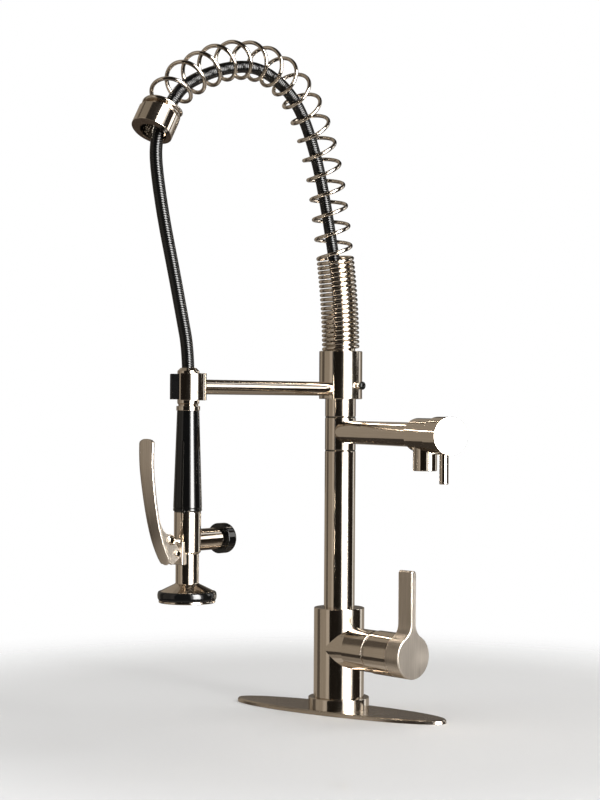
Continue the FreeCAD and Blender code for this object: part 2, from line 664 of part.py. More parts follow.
def spout_pieces():
    """Pot filler: swivel ring, tube, outlet sleeve with its valve, and the knob on the end."""
    bore = CORE_RADIUS + RUN_GAP
    low = SWIVEL_BOTTOM + FACE_GAP / 2
    high = SWIVEL_TOP - FACE_GAP / 2
    swivel = ring(POLE_RADIUS, bore, low, high)
    tube_end = SLEEVE_START + SLEEVE_SOCKET
    tube = pipe(SPOUT_TUBE_RADIUS, SPOUT_TUBE_BORE, on_spout(0), on_spout(tube_end))
    tube = tube.cut(cylinder(POLE_RADIUS, low, high))
    swivel = swivel.cut(bar(SPOUT_TUBE_BORE, on_spout(0), on_spout(POLE_RADIUS + 1)))
    outlet_at = SLEEVE_START + OUTLET_FROM_START
    valve_start = SLEEVE_END - SPOUT_VALVE_LENGTH
    centre = on_spout(outlet_at)
    sleeve = bar(SLEEVE_RADIUS, on_spout(SLEEVE_START), on_spout(SLEEVE_END))
    sleeve = sleeve.cut(bar(SPOUT_TUBE_RADIUS + SEAT_GAP, on_spout(SLEEVE_START - 1), on_spout(tube_end)))
    sleeve = sleeve.cut(bar(SPOUT_TUBE_BORE, on_spout(SLEEVE_START), on_spout(SLEEVE_END)))
    sleeve = sleeve.cut(bar(SPOUT_VALVE_RADIUS + SEAT_GAP, on_spout(valve_start), on_spout(SLEEVE_END + 1)))
    housing_low = SPOUT_Z - OUTLET_DROP
    housing = cylinder(OUTLET_RADIUS, housing_low, SPOUT_Z, centre.x, centre.y)
    housing = housing.cut(bar(SLEEVE_RADIUS, on_spout(SLEEVE_START), on_spout(SLEEVE_END)))
    drain = cylinder(OUTLET_BORE, housing_low - 1, SPOUT_Z, centre.x, centre.y)
    sleeve = sleeve.cut(cylinder(SPOUT_TUBE_BORE - 2, housing_low, SPOUT_Z, centre.x, centre.y))
    insert_low = housing_low + SOFT_GAP
    insert = cylinder(OUTLET_BORE - SEAT_GAP, insert_low, insert_low + AERATOR_HEIGHT, centre.x, centre.y)
    for count, share in ((1, 0.0), (6, 0.36), (12, 0.72)):
        for i in range(count):
            angle = 2 * math.pi * i / count
            x = centre.x + OUTLET_BORE * share * math.cos(angle)
            y = centre.y + OUTLET_BORE * share * math.sin(angle)
            insert = insert.cut(cylinder(AERATOR_HOLE, insert_low - 1, insert_low + AERATOR_HEIGHT + 1, x, y))
    valve = bar(SPOUT_VALVE_RADIUS, on_spout(valve_start), on_spout(SLEEVE_END))
    spindle_end = KNOB_START - SPINDLE_IN_VALVE
    spindle_floor = on_spout(spindle_end - FACE_GAP)
    valve = valve.cut(bar(SPINDLE_RADIUS + RUN_GAP, spindle_floor, on_spout(SLEEVE_END + 1)))
    knob = bar(KNOB_RADIUS, on_spout(KNOB_START), on_spout(KNOB_END))
    rims = [e for e in knob.Edges if isinstance(e.Curve, Part.Circle)]
    face_rim = [e for e in rims if (e.Curve.Center - on_spout(KNOB_END)).Length < 1e-6]
    knob = knob.makeFillet(KNOB_FACE_EDGE, face_rim)
    rims = [e for e in knob.Edges if isinstance(e.Curve, Part.Circle)]
    back_rim = [e for e in rims if (e.Curve.Center - on_spout(KNOB_START)).Length < 1e-6]
    knob = knob.makeFillet(KNOB_EDGE, back_rim)
    knob = knob.fuse(bar(SPINDLE_RADIUS, on_spout(spindle_end), on_spout(KNOB_START + 1)))
    rod_at = KNOB_END - KNOB_ROD_BACK
    socket = on_spout(rod_at, 0, -KNOB_RADIUS + KNOB_ROD_SOCKET)
    rod_end = on_spout(rod_at, 0, -KNOB_ROD_DROP)
    knob = knob.cut(bar(KNOB_ROD_RADIUS + SEAT_GAP, socket, rod_end))
    rod = bar(KNOB_ROD_RADIUS, socket, rod_end)
    rod = rod.makeFillet(KNOB_EDGE, edges_at(rod, rod_end.z))
    return {
        "spout_ring": swivel,
        "spout_tube": tube,
        "spout_sleeve": sleeve,
        "spout_valve": valve,
        "aerator_housing": housing.cut(drain),
        "aerator_insert": insert,
        "spout_knob": knob,
        "spout_knob_rod": rod,
    }


def arm_pieces():
    """Collar that turns on the pole, with the arm, its open clip and the clamp screw."""
    bush_inner = POLE_RADIUS + RUN_GAP
    bush_outer = bush_inner + BUSH_WALL
    lip_bottom = COLLAR_TOP - COLLAR_LIP
    collar = cylinder(COLLAR_RADIUS, COLLAR_BOTTOM, COLLAR_TOP)
    ends = edges_at(collar, COLLAR_TOP) + edges_at(collar, COLLAR_BOTTOM)
    collar = collar.makeChamfer(COLLAR_EDGE, ends)
    collar = collar.cut(cylinder(bush_outer + SEAT_GAP, COLLAR_BOTTOM - 1, lip_bottom))
    collar = collar.cut(cylinder(HOSE_RADIUS + SOFT_GAP, lip_bottom - 1, COLLAR_TOP + 1))
    screw_z = ARM_Z + CLAMP_RISE
    bush_reach = bush_outer + SEAT_GAP
    neck_end = COLLAR_RADIUS + CLAMP_NECK
    head_end = neck_end + CLAMP_HEAD_THICK
    screw_room = bar(CLAMP_SCREW_RADIUS + SEAT_GAP, V(0, 0, screw_z), V(COLLAR_RADIUS + 1, 0, screw_z))
    collar = collar.cut(screw_room)
    screw = bar(CLAMP_SCREW_RADIUS, V(bush_reach, 0, screw_z), V(neck_end, 0, screw_z))
    head = bar(CLAMP_HEAD_RADIUS, V(neck_end, 0, screw_z), V(head_end, 0, screw_z))
    head = head.makeFillet(CLAMP_HEAD_THICK / 3, [e for e in head.Edges if isinstance(e.Curve, Part.Circle)])
    clip_low = ARM_Z - CLIP_HEIGHT / 2
    clip_high = ARM_Z + CLIP_HEIGHT / 2
    arm = bar(ARM_RADIUS, V(0, 0, ARM_Z), V(0, HANDSET_Y, ARM_Z))
    arm = arm.cut(cylinder(COLLAR_RADIUS, COLLAR_BOTTOM, COLLAR_TOP))
    arm = arm.cut(cylinder(CLIP_RADIUS, clip_low, clip_high, 0, HANDSET_Y))
    return {
        "arm_collar": collar,
        "arm_bush": ring(bush_outer, bush_inner, COLLAR_BOTTOM, COLLAR_BOTTOM + BUSH_LENGTH),
        "arm_rod": arm,
        "arm_clip": open_clip(CLIP_RADIUS, CLIP_INNER, clip_low, clip_high),
        "clip_liner": open_clip(CLIP_INNER - SEAT_GAP, LINER_INNER, clip_low, clip_high),
        "clamp_screw": screw.fuse(head),
    }


def open_clip(outer, inner, low, high):
    """Ring round the handset's neck, open to the front by a slot as wide as its bore."""
    clip = ring(outer, inner, low, high, 0, HANDSET_Y)
    height = high - low
    slot = Part.makeBox(2 * inner, 2 * outer, height, V(-inner, HANDSET_Y - 2 * outer, low))
    mouth_y = HANDSET_Y - CLIP_MOUTH
    front = Part.makeBox(4 * outer, 2 * outer, height, V(-2 * outer, mouth_y - 2 * outer, low))
    clip = clip.cut(slot).cut(front)
    clip.rotate(V(0, HANDSET_Y, 0), UP, CLIP_TURN)
    return clip


def spring_pieces():
    """Spring on its seat over the collar, the bell on its far end, and the hose through both."""
    edges, _ = route(above_collar(SPINE))
    length = sum(edge.Length for edge in edges)
    start = WIRE_RADIUS + SOFT_GAP
    end = length - BELL_LENGTH - WIRE_RADIUS - SOFT_GAP
    open_end = end - END_TURNS * END_PITCH
    close_end = start + CLOSE_TURNS * CLOSE_PITCH
    open_pitch = (open_end - close_end - PITCH_GAIN * OPEN_TURNS ** 2 / 2) / OPEN_TURNS

    def travel(turn):
        extra = turn - CLOSE_TURNS
        if extra <= 0:
            return start + turn * CLOSE_PITCH
        if extra >= OPEN_TURNS:
            return open_end + (extra - OPEN_TURNS) * END_PITCH
        return close_end + extra * open_pitch + PITCH_GAIN * extra ** 2 / 2

    turns = CLOSE_TURNS + OPEN_TURNS + END_TURNS
    spring = coil(edges, SPRING_RADIUS, WIRE_RADIUS, travel, turns, "spring")
    print("spring open pitch %.1f to %.1f" % (open_pitch, open_pitch + PITCH_GAIN * OPEN_TURNS))
    mouth, down = place_along(edges, length)
    crown = mouth - down * BELL_LENGTH
    bell = bar(BELL_RADIUS, crown, mouth)
    bell = bell.makeChamfer(BELL_EDGE, [e for e in bell.Edges if isinstance(e.Curve, Part.Circle)])
    spigot_radius = SPRING_RADIUS - WIRE_RADIUS - SOFT_GAP
    bell = bell.fuse(bar(spigot_radius, crown - down * BELL_SPIGOT, crown + down))
    bell = bell.cut(bar(spigot_radius - SPIGOT_WALL, crown - down * (BELL_SPIGOT + 1), mouth))
    bell = bell.cut(bar(BELL_HOLE, crown + down * BELL_FLOOR, mouth + down))
    seat_radius = SPRING_RADIUS - WIRE_RADIUS - 2 * SOFT_GAP
    return {
        "spring": spring,
        "spring_seat": ring(seat_radius, seat_radius - SEAT_WALL, COLLAR_TOP, COLLAR_TOP + SEAT_HEIGHT),
        "spring_bell": bell,
        "hose_arch": hose(HOSE_ARCH, "hose_arch"),
        "hose_drop": hose(HOSE_DROP, "hose_drop"),
    }


def lathe(edges):
    """Solid of revolution about the handset's axis, from a closed profile of edges."""
    face = Part.Face(Part.Wire(edges))
    return face.revolve(V(0, HANDSET_Y, 0), UP, 360)


def at_handset(radius, z):
    return V(radius, HANDSET_Y, z)


def line(a, b):
    return Part.LineSegment(a, b).toShape()


def handset_pieces():
    """Neck, grip, tube, spray body, bonnet with its cap, nozzle with its rim and plate."""
    hose_room = HOSE_RADIUS + SEAT_GAP
    hose_end = COLLAR_TOP + HOSE_DROP[-1][1] - SOFT_GAP
    tube_room = TUBE_RADIUS + SEAT_GAP
    tube_top = GRIP_TOP + TUBE_INSERT
    tube_low = GRIP_BOTTOM - TUBE_INSERT
    neck = turned([
        (hose_room, NECK_TOP), (NECK_RADIUS - NECK_CHAMFER, NECK_TOP), (NECK_RADIUS, NECK_TOP - NECK_CHAMFER),
        (NECK_RADIUS, BAND_TOP + NECK_GROOVE_HEIGHT + NECK_GROOVE),
        (NECK_RADIUS - NECK_GROOVE, BAND_TOP + NECK_GROOVE_HEIGHT),
        (NECK_RADIUS - NECK_GROOVE, BAND_TOP), (BAND_RADIUS, BAND_TOP), (BAND_RADIUS, GRIP_TOP),
        (tube_room, GRIP_TOP), (tube_room, tube_top), (HOSE_BORE, tube_top), (HOSE_BORE, hose_end),
        (hose_room, hose_end)], 0, HANDSET_Y)
    middle = (GRIP_TOP + GRIP_BOTTOM) / 2
    swell = (GRIP_TOP_RADIUS + GRIP_LOW_RADIUS) / 2
    foot = GRIP_LOW_RADIUS - GRIP_EDGE
    grip = lathe([
        line(at_handset(tube_room, GRIP_TOP), at_handset(GRIP_TOP_RADIUS, GRIP_TOP)),
        Part.Arc(at_handset(GRIP_TOP_RADIUS, GRIP_TOP), at_handset(swell, middle),
                 at_handset(GRIP_LOW_RADIUS, GRIP_BOTTOM + GRIP_EDGE)).toShape(),
        line(at_handset(GRIP_LOW_RADIUS, GRIP_BOTTOM + GRIP_EDGE), at_handset(foot, GRIP_BOTTOM)),
        line(at_handset(foot, GRIP_BOTTOM), at_handset(tube_room, GRIP_BOTTOM)),
        line(at_handset(tube_room, GRIP_BOTTOM), at_handset(tube_room, GRIP_TOP))])
    step = SPRAY_BODY_RADIUS - SPRAY_NECK_RADIUS
    body = turned([
        (tube_room, GRIP_BOTTOM), (SPRAY_BODY_RADIUS, GRIP_BOTTOM), (SPRAY_BODY_RADIUS, SHOULDER_Z + step),
        (SPRAY_NECK_RADIUS, SHOULDER_Z), (SPRAY_NECK_RADIUS, NOZZLE_TOP),
        (SPRAY_BORE, NOZZLE_TOP), (SPRAY_BORE, tube_low), (tube_room, tube_low)], 0, HANDSET_Y)
    lug = bar(LUG_RADIUS, V(-LUG_WIDTH / 2, HANDSET_Y - PIVOT_OUT, PIVOT_Z),
              V(LUG_WIDTH / 2, HANDSET_Y - PIVOT_OUT, PIVOT_Z))
    web = Part.makeBox(LUG_WIDTH, PIVOT_OUT - SPRAY_BORE - 1, 2 * LUG_RADIUS,
                       V(-LUG_WIDTH / 2, HANDSET_Y - PIVOT_OUT, PIVOT_Z - LUG_RADIUS))
    body = body.fuse([lug, web])
    pin_half = LEVER_WIDTH / 2 + SOFT_GAP
    pin_room = bar(PIN_RADIUS + SEAT_GAP, V(-pin_half, HANDSET_Y - PIVOT_OUT, PIVOT_Z),
                   V(pin_half, HANDSET_Y - PIVOT_OUT, PIVOT_Z))
    stem_room = bar(PLUNGER_RADIUS + RUN_GAP, V(0, HANDSET_Y - PUSH_OUT, VALVE_Z),
                    V(0, HANDSET_Y + BONNET_REACH, VALVE_Z))
    body = body.cut(pin_room).cut(stem_room)
    pieces = {
        "handset_neck": neck,
        "handset_grip": grip,
        "handset_tube": ring(TUBE_RADIUS, TUBE_BORE, tube_low, tube_top, 0, HANDSET_Y),
        "spray_body": body.removeSplitter(),
    }
    pieces.update(bonnet_pieces(stem_room))
    pieces.update(nozzle_pieces())
    return pieces


def on_bonnet(along, up=0.0):
    """Place on the bonnet's axis, measured from the handset's axis towards the column."""
    return V(0, HANDSET_Y + along, VALVE_Z + up)


def bonnet_pieces(stem_room):
    end_wall = BONNET_REACH - BONNET_WALL
    bore = BONNET_RADIUS - BONNET_WALL
    bonnet = bar(BONNET_RADIUS, on_bonnet(0), on_bonnet(BONNET_REACH))
    bonnet = bonnet.cut(cylinder(SPRAY_BODY_RADIUS, SHOULDER_Z - BONNET_RADIUS, GRIP_BOTTOM, 0, HANDSET_Y))
    bonnet = bonnet.cut(stem_room.common(bar(bore, on_bonnet(0), on_bonnet(BONNET_BORE_START + 1))))
    bonnet = bonnet.cut(bar(bore, on_bonnet(BONNET_BORE_START), on_bonnet(end_wall)))
    cap_start = BONNET_REACH - CAP_OVERLAP
    cap_end = cap_start + CAP_LENGTH
    cap = bar(CAP_RADIUS, on_bonnet(cap_start), on_bonnet(cap_end))
    rims = [e for e in cap.Edges if isinstance(e.Curve, Part.Circle)]
    cap = cap.makeFillet(CAP_EDGE, [e for e in rims if abs(e.Curve.Center.y - HANDSET_Y - cap_end) < 1e-6])
    cap = cap.cut(bar(BONNET_RADIUS + SEAT_GAP, on_bonnet(cap_start - 1), on_bonnet(BONNET_REACH)))
    seal_start = BONNET_BORE_START + SEAT_GAP
    disc_start = seal_start + PLUNGER_SEAL_THICK
    disc_end = disc_start + PLUNGER_DISC_THICK
    push_face = -PUSH_OUT + NOSE_RADIUS + SOFT_GAP
    plunger = bar(PLUNGER_RADIUS, on_bonnet(push_face), on_bonnet(disc_end + PLUNGER_TAIL))
    head = bar(PLUNGER_HEAD_RADIUS, on_bonnet(push_face), on_bonnet(push_face + PLUNGER_HEAD_THICK))
    disc = bar(PLUNGER_DISC_RADIUS, on_bonnet(disc_start), on_bonnet(disc_end))
    plunger = plunger.fuse([head, disc])
    seal = pipe(PLUNGER_DISC_RADIUS, PLUNGER_RADIUS + SEAT_GAP, on_bonnet(seal_start), on_bonnet(disc_start))
    wire = VALVE_SPRING_WIRE
    coil_start = disc_end + wire + SOFT_GAP
    coil_end = end_wall - wire - SOFT_GAP
    coil_radius = (PLUNGER_RADIUS + PLUNGER_DISC_RADIUS) / 2
    spine = [line(on_bonnet(coil_start), on_bonnet(coil_end))]

    def travel(turn):
        return (coil_end - coil_start) * turn / VALVE_SPRING_TURNS

    return {
        "bonnet": bonnet,
        "bonnet_cap": cap,
        "plunger_stem": plunger,
        "plunger_seal": seal,
        "valve_spring": coil(spine, coil_radius, wire, travel, VALVE_SPRING_TURNS, "valve_spring"),
    }


def nozzle_pieces():
    flare_low = NOZZLE_TOP - NOZZLE_FLARE
    waist = (SPRAY_NECK_RADIUS + NOZZLE_RADIUS) / 2 - NOZZLE_FLARE / 2
    inside = NOZZLE_RADIUS - NOZZLE_WALL
    roof = flare_low - NOZZLE_WALL
    lip_top = NOZZLE_BOTTOM + LIP_HEIGHT
    lip_radius = NOZZLE_RADIUS + LIP_OUT
    corners = [at_handset(SPRAY_BORE, NOZZLE_TOP), at_handset(SPRAY_NECK_RADIUS, NOZZLE_TOP),
               at_handset(NOZZLE_RADIUS, flare_low), at_handset(NOZZLE_RADIUS, lip_top),
               at_handset(lip_radius, lip_top), at_handset(lip_radius, NOZZLE_BOTTOM),
               at_handset(inside, NOZZLE_BOTTOM), at_handset(inside, roof), at_handset(SPRAY_BORE, roof)]
    profile = [line(corners[0], corners[1]),
               Part.Arc(corners[1], at_handset(waist, flare_low + NOZZLE_FLARE / 3), corners[2]).toShape()]
    for a, b in zip(corners[2:], corners[3:] + corners[:1]):
        profile.append(line(a, b))
    rim_top = flare_low
    rim_low = lip_top + SEAT_GAP
    rim_inner = NOZZLE_RADIUS + SEAT_GAP
    crest = at_handset(rim_inner + RIM_BULGE, (rim_top + rim_low) / 2)
    rim = lathe([
        line(at_handset(rim_inner, rim_low), at_handset(rim_inner, rim_top)),
        Part.Arc(at_handset(rim_inner, rim_top), crest, at_handset(rim_inner, rim_low)).toShape()])
    plate_low = NOZZLE_BOTTOM + SPRAY_PLATE_SUNK
    plate_top = plate_low + SPRAY_PLATE_THICK
    plate = cylinder(inside - SEAT_GAP, plate_low, plate_top, 0, HANDSET_Y)
    for count, share in ((1, 0.0), (6, 0.22), (12, 0.44), (18, 0.66)):
        for i in range(count):
            angle = 2 * math.pi * i / count
            x = inside * share * math.cos(angle)
            y = HANDSET_Y + inside * share * math.sin(angle)
            plate = plate.cut(cylinder(SPRAY_HOLE, plate_low - 1, plate_top + 1, x, y))
    return {"nozzle_bell": lathe(profile), "nozzle_rim": rim, "spray_plate": plate}


def trigger_pieces():
    """Squeeze lever on its pin: a bent strap, two cheeks and a push pin that meets the plunger."""
    pivot = V(0, HANDSET_Y - PIVOT_OUT, PIVOT_Z)
    edges, _ = route([pivot + V(0, -out, up) for out, up in STRAP])
    outline = Part.Wire(edges).makeOffset2D(LEVER_THICK / 2, 0, False, False, False)
    strap = Part.Face(outline).extrude(V(LEVER_WIDTH, 0, 0))
    strap.translate(V(-LEVER_WIDTH / 2, 0, 0))
    inner = LUG_WIDTH / 2 + SOFT_GAP
    cheek_top = NOSE_ARM + CHEEK_RADIUS
    share = (cheek_top - STRAP[1][1]) / (STRAP[2][1] - STRAP[1][1])
    strap_out = STRAP[1][0] + share * (STRAP[2][0] - STRAP[1][0])
    corners = [(0, -CHEEK_RADIUS), STRAP[0], STRAP[1], (strap_out, cheek_top), (NOSE_OUT, cheek_top),
               (NOSE_OUT - CHEEK_RADIUS, NOSE_ARM), (0, CHEEK_RADIUS)]
    lever = strap
    for side in (-inner - CHEEK_THICK / 2, inner + CHEEK_THICK / 2):
        cheek = side_view(corners, CHEEK_THICK, side, pivot.y, pivot.z)
        half = V(CHEEK_THICK / 2, 0, 0)
        middle = pivot + V(side, 0, 0)
        rise = V(0, -NOSE_OUT, NOSE_ARM)
        boss = bar(CHEEK_RADIUS, middle - half, middle + half)
        push_boss = bar(CHEEK_RADIUS, middle + rise - half, middle + rise + half)
        lever = lever.fuse([cheek, boss, push_boss])
    reach = V(inner + CHEEK_THICK, 0, 0)
    nose_centre = pivot + V(0, -NOSE_OUT, NOSE_ARM)
    nose_head = V(inner + CHEEK_THICK + NOSE_HEAD_THICK, 0, 0)
    lever = lever.fuse([bar(NOSE_RADIUS, nose_centre - reach, nose_centre + reach),
                        bar(NOSE_HEAD_RADIUS, nose_centre - nose_head, nose_centre - reach),
                        bar(NOSE_HEAD_RADIUS, nose_centre + reach, nose_centre + nose_head)])
    pin_half = LEVER_WIDTH / 2 + SOFT_GAP
    side_reach = V(pin_half, 0, 0)
    head_reach = V(pin_half + PIN_HEAD_THICK, 0, 0)
    lever = lever.cut(bar(PIN_RADIUS + RUN_GAP, pivot - side_reach, pivot + side_reach))
    pin = bar(PIN_RADIUS, pivot - side_reach, pivot + side_reach)
    pin = pin.fuse([bar(PIN_HEAD_RADIUS, pivot - head_reach, pivot - side_reach),
                    bar(PIN_HEAD_RADIUS, pivot + side_reach, pivot + head_reach)])
    return {"trigger_lever": lever.removeSplitter(), "trigger_pin": pin}


def main():
    pieces = {}
    for group in (deck_pieces, body_pieces, handle_pieces, pole_pieces, spout_pieces,
                  arm_pieces, spring_pieces, handset_pieces, trigger_pieces):
        pieces.update(group())
    write_all(pieces)


main()
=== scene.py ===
# %% [markdown]
# # Spring kitchen faucet
# A tall nickel faucet: a column on an oval deck plate, a mixer handle with a teardrop face, a pot
# filler spout, and a spray handset that hangs from a hose inside a long coil spring. Every solid
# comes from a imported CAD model, which this lesson loads as a fixed frame and then dresses.

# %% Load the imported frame
import json
import math
import bpy
from mathutils import Matrix, Vector


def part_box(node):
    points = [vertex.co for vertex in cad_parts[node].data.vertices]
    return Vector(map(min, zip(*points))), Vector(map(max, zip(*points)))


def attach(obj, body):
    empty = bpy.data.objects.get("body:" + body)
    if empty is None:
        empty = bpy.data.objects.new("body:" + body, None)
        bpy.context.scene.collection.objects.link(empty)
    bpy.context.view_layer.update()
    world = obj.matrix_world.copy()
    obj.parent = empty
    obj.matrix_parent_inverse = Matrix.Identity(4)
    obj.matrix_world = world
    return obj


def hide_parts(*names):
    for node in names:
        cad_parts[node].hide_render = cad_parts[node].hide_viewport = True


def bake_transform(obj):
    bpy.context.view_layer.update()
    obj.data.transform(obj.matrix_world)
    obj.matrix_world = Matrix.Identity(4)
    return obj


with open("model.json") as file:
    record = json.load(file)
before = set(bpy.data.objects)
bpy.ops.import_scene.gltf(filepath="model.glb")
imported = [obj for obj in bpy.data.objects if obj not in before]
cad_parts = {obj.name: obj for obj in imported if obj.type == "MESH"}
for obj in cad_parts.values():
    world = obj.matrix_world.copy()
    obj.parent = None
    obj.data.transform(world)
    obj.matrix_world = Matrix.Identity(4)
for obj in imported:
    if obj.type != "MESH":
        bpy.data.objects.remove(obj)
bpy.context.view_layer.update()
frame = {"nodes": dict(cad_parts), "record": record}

MM = 0.001
FULL_TURN = 2 * math.pi
UP = (0, 0, 1)
RIGHT = (1, 0, 0)
scene = bpy.context.scene

# %% [markdown]
# ## Camera
# The picture was taken from 40 degrees to the right of the spray arm, two metres away and level
# with the middle of the column, through a long lens. A level camera keeps the column upright, and
# the small roll is the lean that the picture shows.

# %% Camera
CAMERA_TURN = math.radians(40)
CAMERA_PLACE = (1.2529, -1.5595, 0.3245)
CAMERA_LENS = 85.5
CAMERA_SENSOR = 36
CAMERA_ROLL = 0.00636
CAMERA_PITCH = 3.0 / 1900


def link(thing):
    scene.collection.objects.link(thing)
    return thing


def add_camera():
    """Level camera on the photograph's bearing, with its slight tilt and roll."""
    lens = bpy.data.cameras.new("faucet_camera")
    lens.lens = CAMERA_LENS
    lens.sensor_width = CAMERA_SENSOR
    camera = link(bpy.data.objects.new("faucet_camera", lens))
    level = Matrix.Rotation(CAMERA_TURN, 4, "Z") @ Matrix.Rotation(math.pi / 2, 4, "X")
    tilt = Matrix.Rotation(CAMERA_PITCH, 4, "X") @ Matrix.Rotation(CAMERA_ROLL, 4, "Z")
    camera.matrix_world = Matrix.Translation(CAMERA_PLACE) @ level @ tilt
    scene.camera = camera
    return camera


print("camera at", list(add_camera().location))

# %% [markdown]
# ## Helpers for meshes and nodes
# Every piece ends as a plain mesh, and many store an attribute called grain, which the metal
# finishes read. Materials and Geometry Nodes are both trees of nodes. The helpers add a node with
# its settings and with what goes into it, so a tree reads as a list of what an effect is made of.

# %% Mesh helpers


def circle(steps):
    """Cosine and sine at even steps round a full turn."""
    return [(math.cos(FULL_TURN * i / steps), math.sin(FULL_TURN * i / steps)) for i in range(steps)]


def mesh_object(name, points, faces, smooth=True):
    mesh = bpy.data.meshes.new(name)
    mesh.from_pydata(points, [], faces)
    if smooth:
        mesh.shade_smooth()
    return bpy.data.objects.new(name, mesh)


def store_grain(mesh, grain):
    attribute = mesh.attributes.new("grain", "FLOAT_VECTOR", "POINT")
    attribute.data.foreach_set("vector", [v for place in grain for v in place])


def plain_mesh(thing):
    """New mesh of an object as its curve or its modifiers shape it."""
    depsgraph = bpy.context.evaluated_depsgraph_get()
    return bpy.data.meshes.new_from_object(thing.evaluated_get(depsgraph))


# %% Node helpers
SOCKET_KINDS = {float: "Float", int: "Int"}


def feed(tree, socket, value):
    """Gives an input socket a value, or links another node's output to it."""
    if isinstance(value, bpy.types.NodeSocket):
        tree.links.new(value, socket)
    else:
        socket.default_value = value


def add(tree, kind, inputs=None, **settings):
    """New node with its settings and what goes into its inputs, by name or number."""
    made = tree.nodes.new(kind)
    for key, value in settings.items():
        setattr(made, key, value)
    for key, value in (inputs or {}).items():
        feed(tree, made.inputs[key], value)
    return made


def maths(tree, operation, *values):
    """Math node on numbers or sockets; returns its output socket."""
    return add(tree, "ShaderNodeMath", dict(enumerate(values)), operation=operation).outputs[0]


def vectors(tree, operation, inputs):
    return add(tree, "ShaderNodeVectorMath", inputs, operation=operation).outputs


def weighted(tree, first, first_share, second, second_share):
    """Sum of two sockets, each times its share."""
    return maths(tree, "ADD", maths(tree, "MULTIPLY", first, first_share),
                 maths(tree, "MULTIPLY", second, second_share))


def ranged(tree, value, first, last, low=0.0, high=1.0, way="LINEAR"):
    """Number that goes from low to high while value goes from first to last."""
    made = add(tree, "ShaderNodeMapRange", {"Value": value, "From Min": first, "From Max": last,
                                            "To Min": low, "To Max": high}, interpolation_type=way)
    return made.outputs["Result"]


def group_tree(name, kind, inputs, outputs):
    """Empty node group: its tree, its inputs' sockets and its outputs'. An input is given as a
    number, its default, or as its kind of socket."""
    tree = bpy.data.node_groups.new(name, kind)
    for label, value in inputs.items():
        socket = SOCKET_KINDS.get(type(value), value)
        made = tree.interface.new_socket(label, in_out="INPUT", socket_type=f"NodeSocket{socket}")
        if socket != value:
            made.default_value = value
    for label, socket in outputs.items():
        tree.interface.new_socket(label, in_out="OUTPUT", socket_type=f"NodeSocket{socket}")
    return tree, add(tree, "NodeGroupInput").outputs, add(tree, "NodeGroupOutput").inputs


def blank(name, colour, metallic, roughness):
    """Material with its plain values on the shader, its tree and its shader's inputs."""
    paint = bpy.data.materials.new(name)
    paint.use_nodes = True
    tree = paint.node_tree
    shader = tree.nodes["Principled BSDF"].inputs
    shader["Base Color"].default_value = (*colour, 1)
    shader["Metallic"].default_value = metallic
    shader["Roughness"].default_value = roughness
    return paint, tree, shader


# %% [markdown]
# ## Studio
# Polished metal is mostly a picture of what stands round it. The reflections on the faucet are
# bright to the right, dark towards the camera and tan to the left. Here the room is a white world,
# and glowing cards round the object, which only reflections see, give it those tones. Three
# softboxes light the object, and reflections see the one on the right. The pale floor under the
# object stays out of the reflections.

# %% World and floor
WHITE_WORLD = 1.0
ROOM_LIGHT = 0.62
FLOOR_TONE = (0.90, 0.895, 0.885)
FLOOR_ROUGH = 0.9
FLOOR_GLOSS = 0.1
FLOOR_RADIUS = 1.5
FLOOR_FADE = (0.3375, 0.75)
FLOOR_STEPS = 96


def white_world():
    """White for camera, glossy and transmission rays; a gentler level for diffuse light."""
    world = bpy.data.worlds.new("studio")
    scene.world = world
    world.use_nodes = True
    tree = world.node_tree
    back = tree.nodes["Background"].inputs
    back["Color"].default_value = (1, 1, 1, 1)
    path = add(tree, "ShaderNodeLightPath").outputs
    seen = maths(tree, "MAXIMUM", path["Is Camera Ray"], path["Is Glossy Ray"])
    seen = maths(tree, "MAXIMUM", seen, path["Is Transmission Ray"])
    feed(tree, back["Strength"], maths(tree, "MULTIPLY_ADD", seen, WHITE_WORLD - ROOM_LIGHT, ROOM_LIGHT))


def pale_floor():
    """Round pale floor that thins out into the white world at its rim."""
    rim = [(FLOOR_RADIUS * c, FLOOR_RADIUS * s, 0) for c, s in circle(FLOOR_STEPS)]
    floor = link(mesh_object("studio_floor", rim, [list(range(FLOOR_STEPS))], smooth=False))
    paint, tree, shader = blank("pale_floor", FLOOR_TONE, 0.0, FLOOR_ROUGH)
    shader["Specular IOR Level"].default_value = FLOOR_GLOSS
    place = add(tree, "ShaderNodeTexCoord").outputs["Object"]
    reach = vectors(tree, "LENGTH", {0: place})["Value"]
    feed(tree, shader["Alpha"], ranged(tree, reach, *FLOOR_FADE, 1.0, 0.0, "SMOOTHSTEP"))
    floor.data.materials.append(paint)
    floor.visible_glossy = False


white_world()
pale_floor()
print("floor radius", FLOOR_RADIUS)

# %% Cards and softboxes
CARD_STEP, LEVEL_STEP = 4, 5    # degrees
FOOT, MIDDLE, TOP = (2.6, -0.6), (2.6, 0.9), (2.6, 3.0)
FLOOR_CARD, CEILING_CARD = -0.6, 3.0
TAN_WALL = (0.33, 0.29, 0.24)
DARK_ROOM = (0.012, 0.010, 0.008)
DARK_SIDE = (0.018, 0.014, 0.011)
WINDOW = (22.0, 21.8, 21.4)
WINDOW_EDGE = (1.8, 1.78, 1.74)
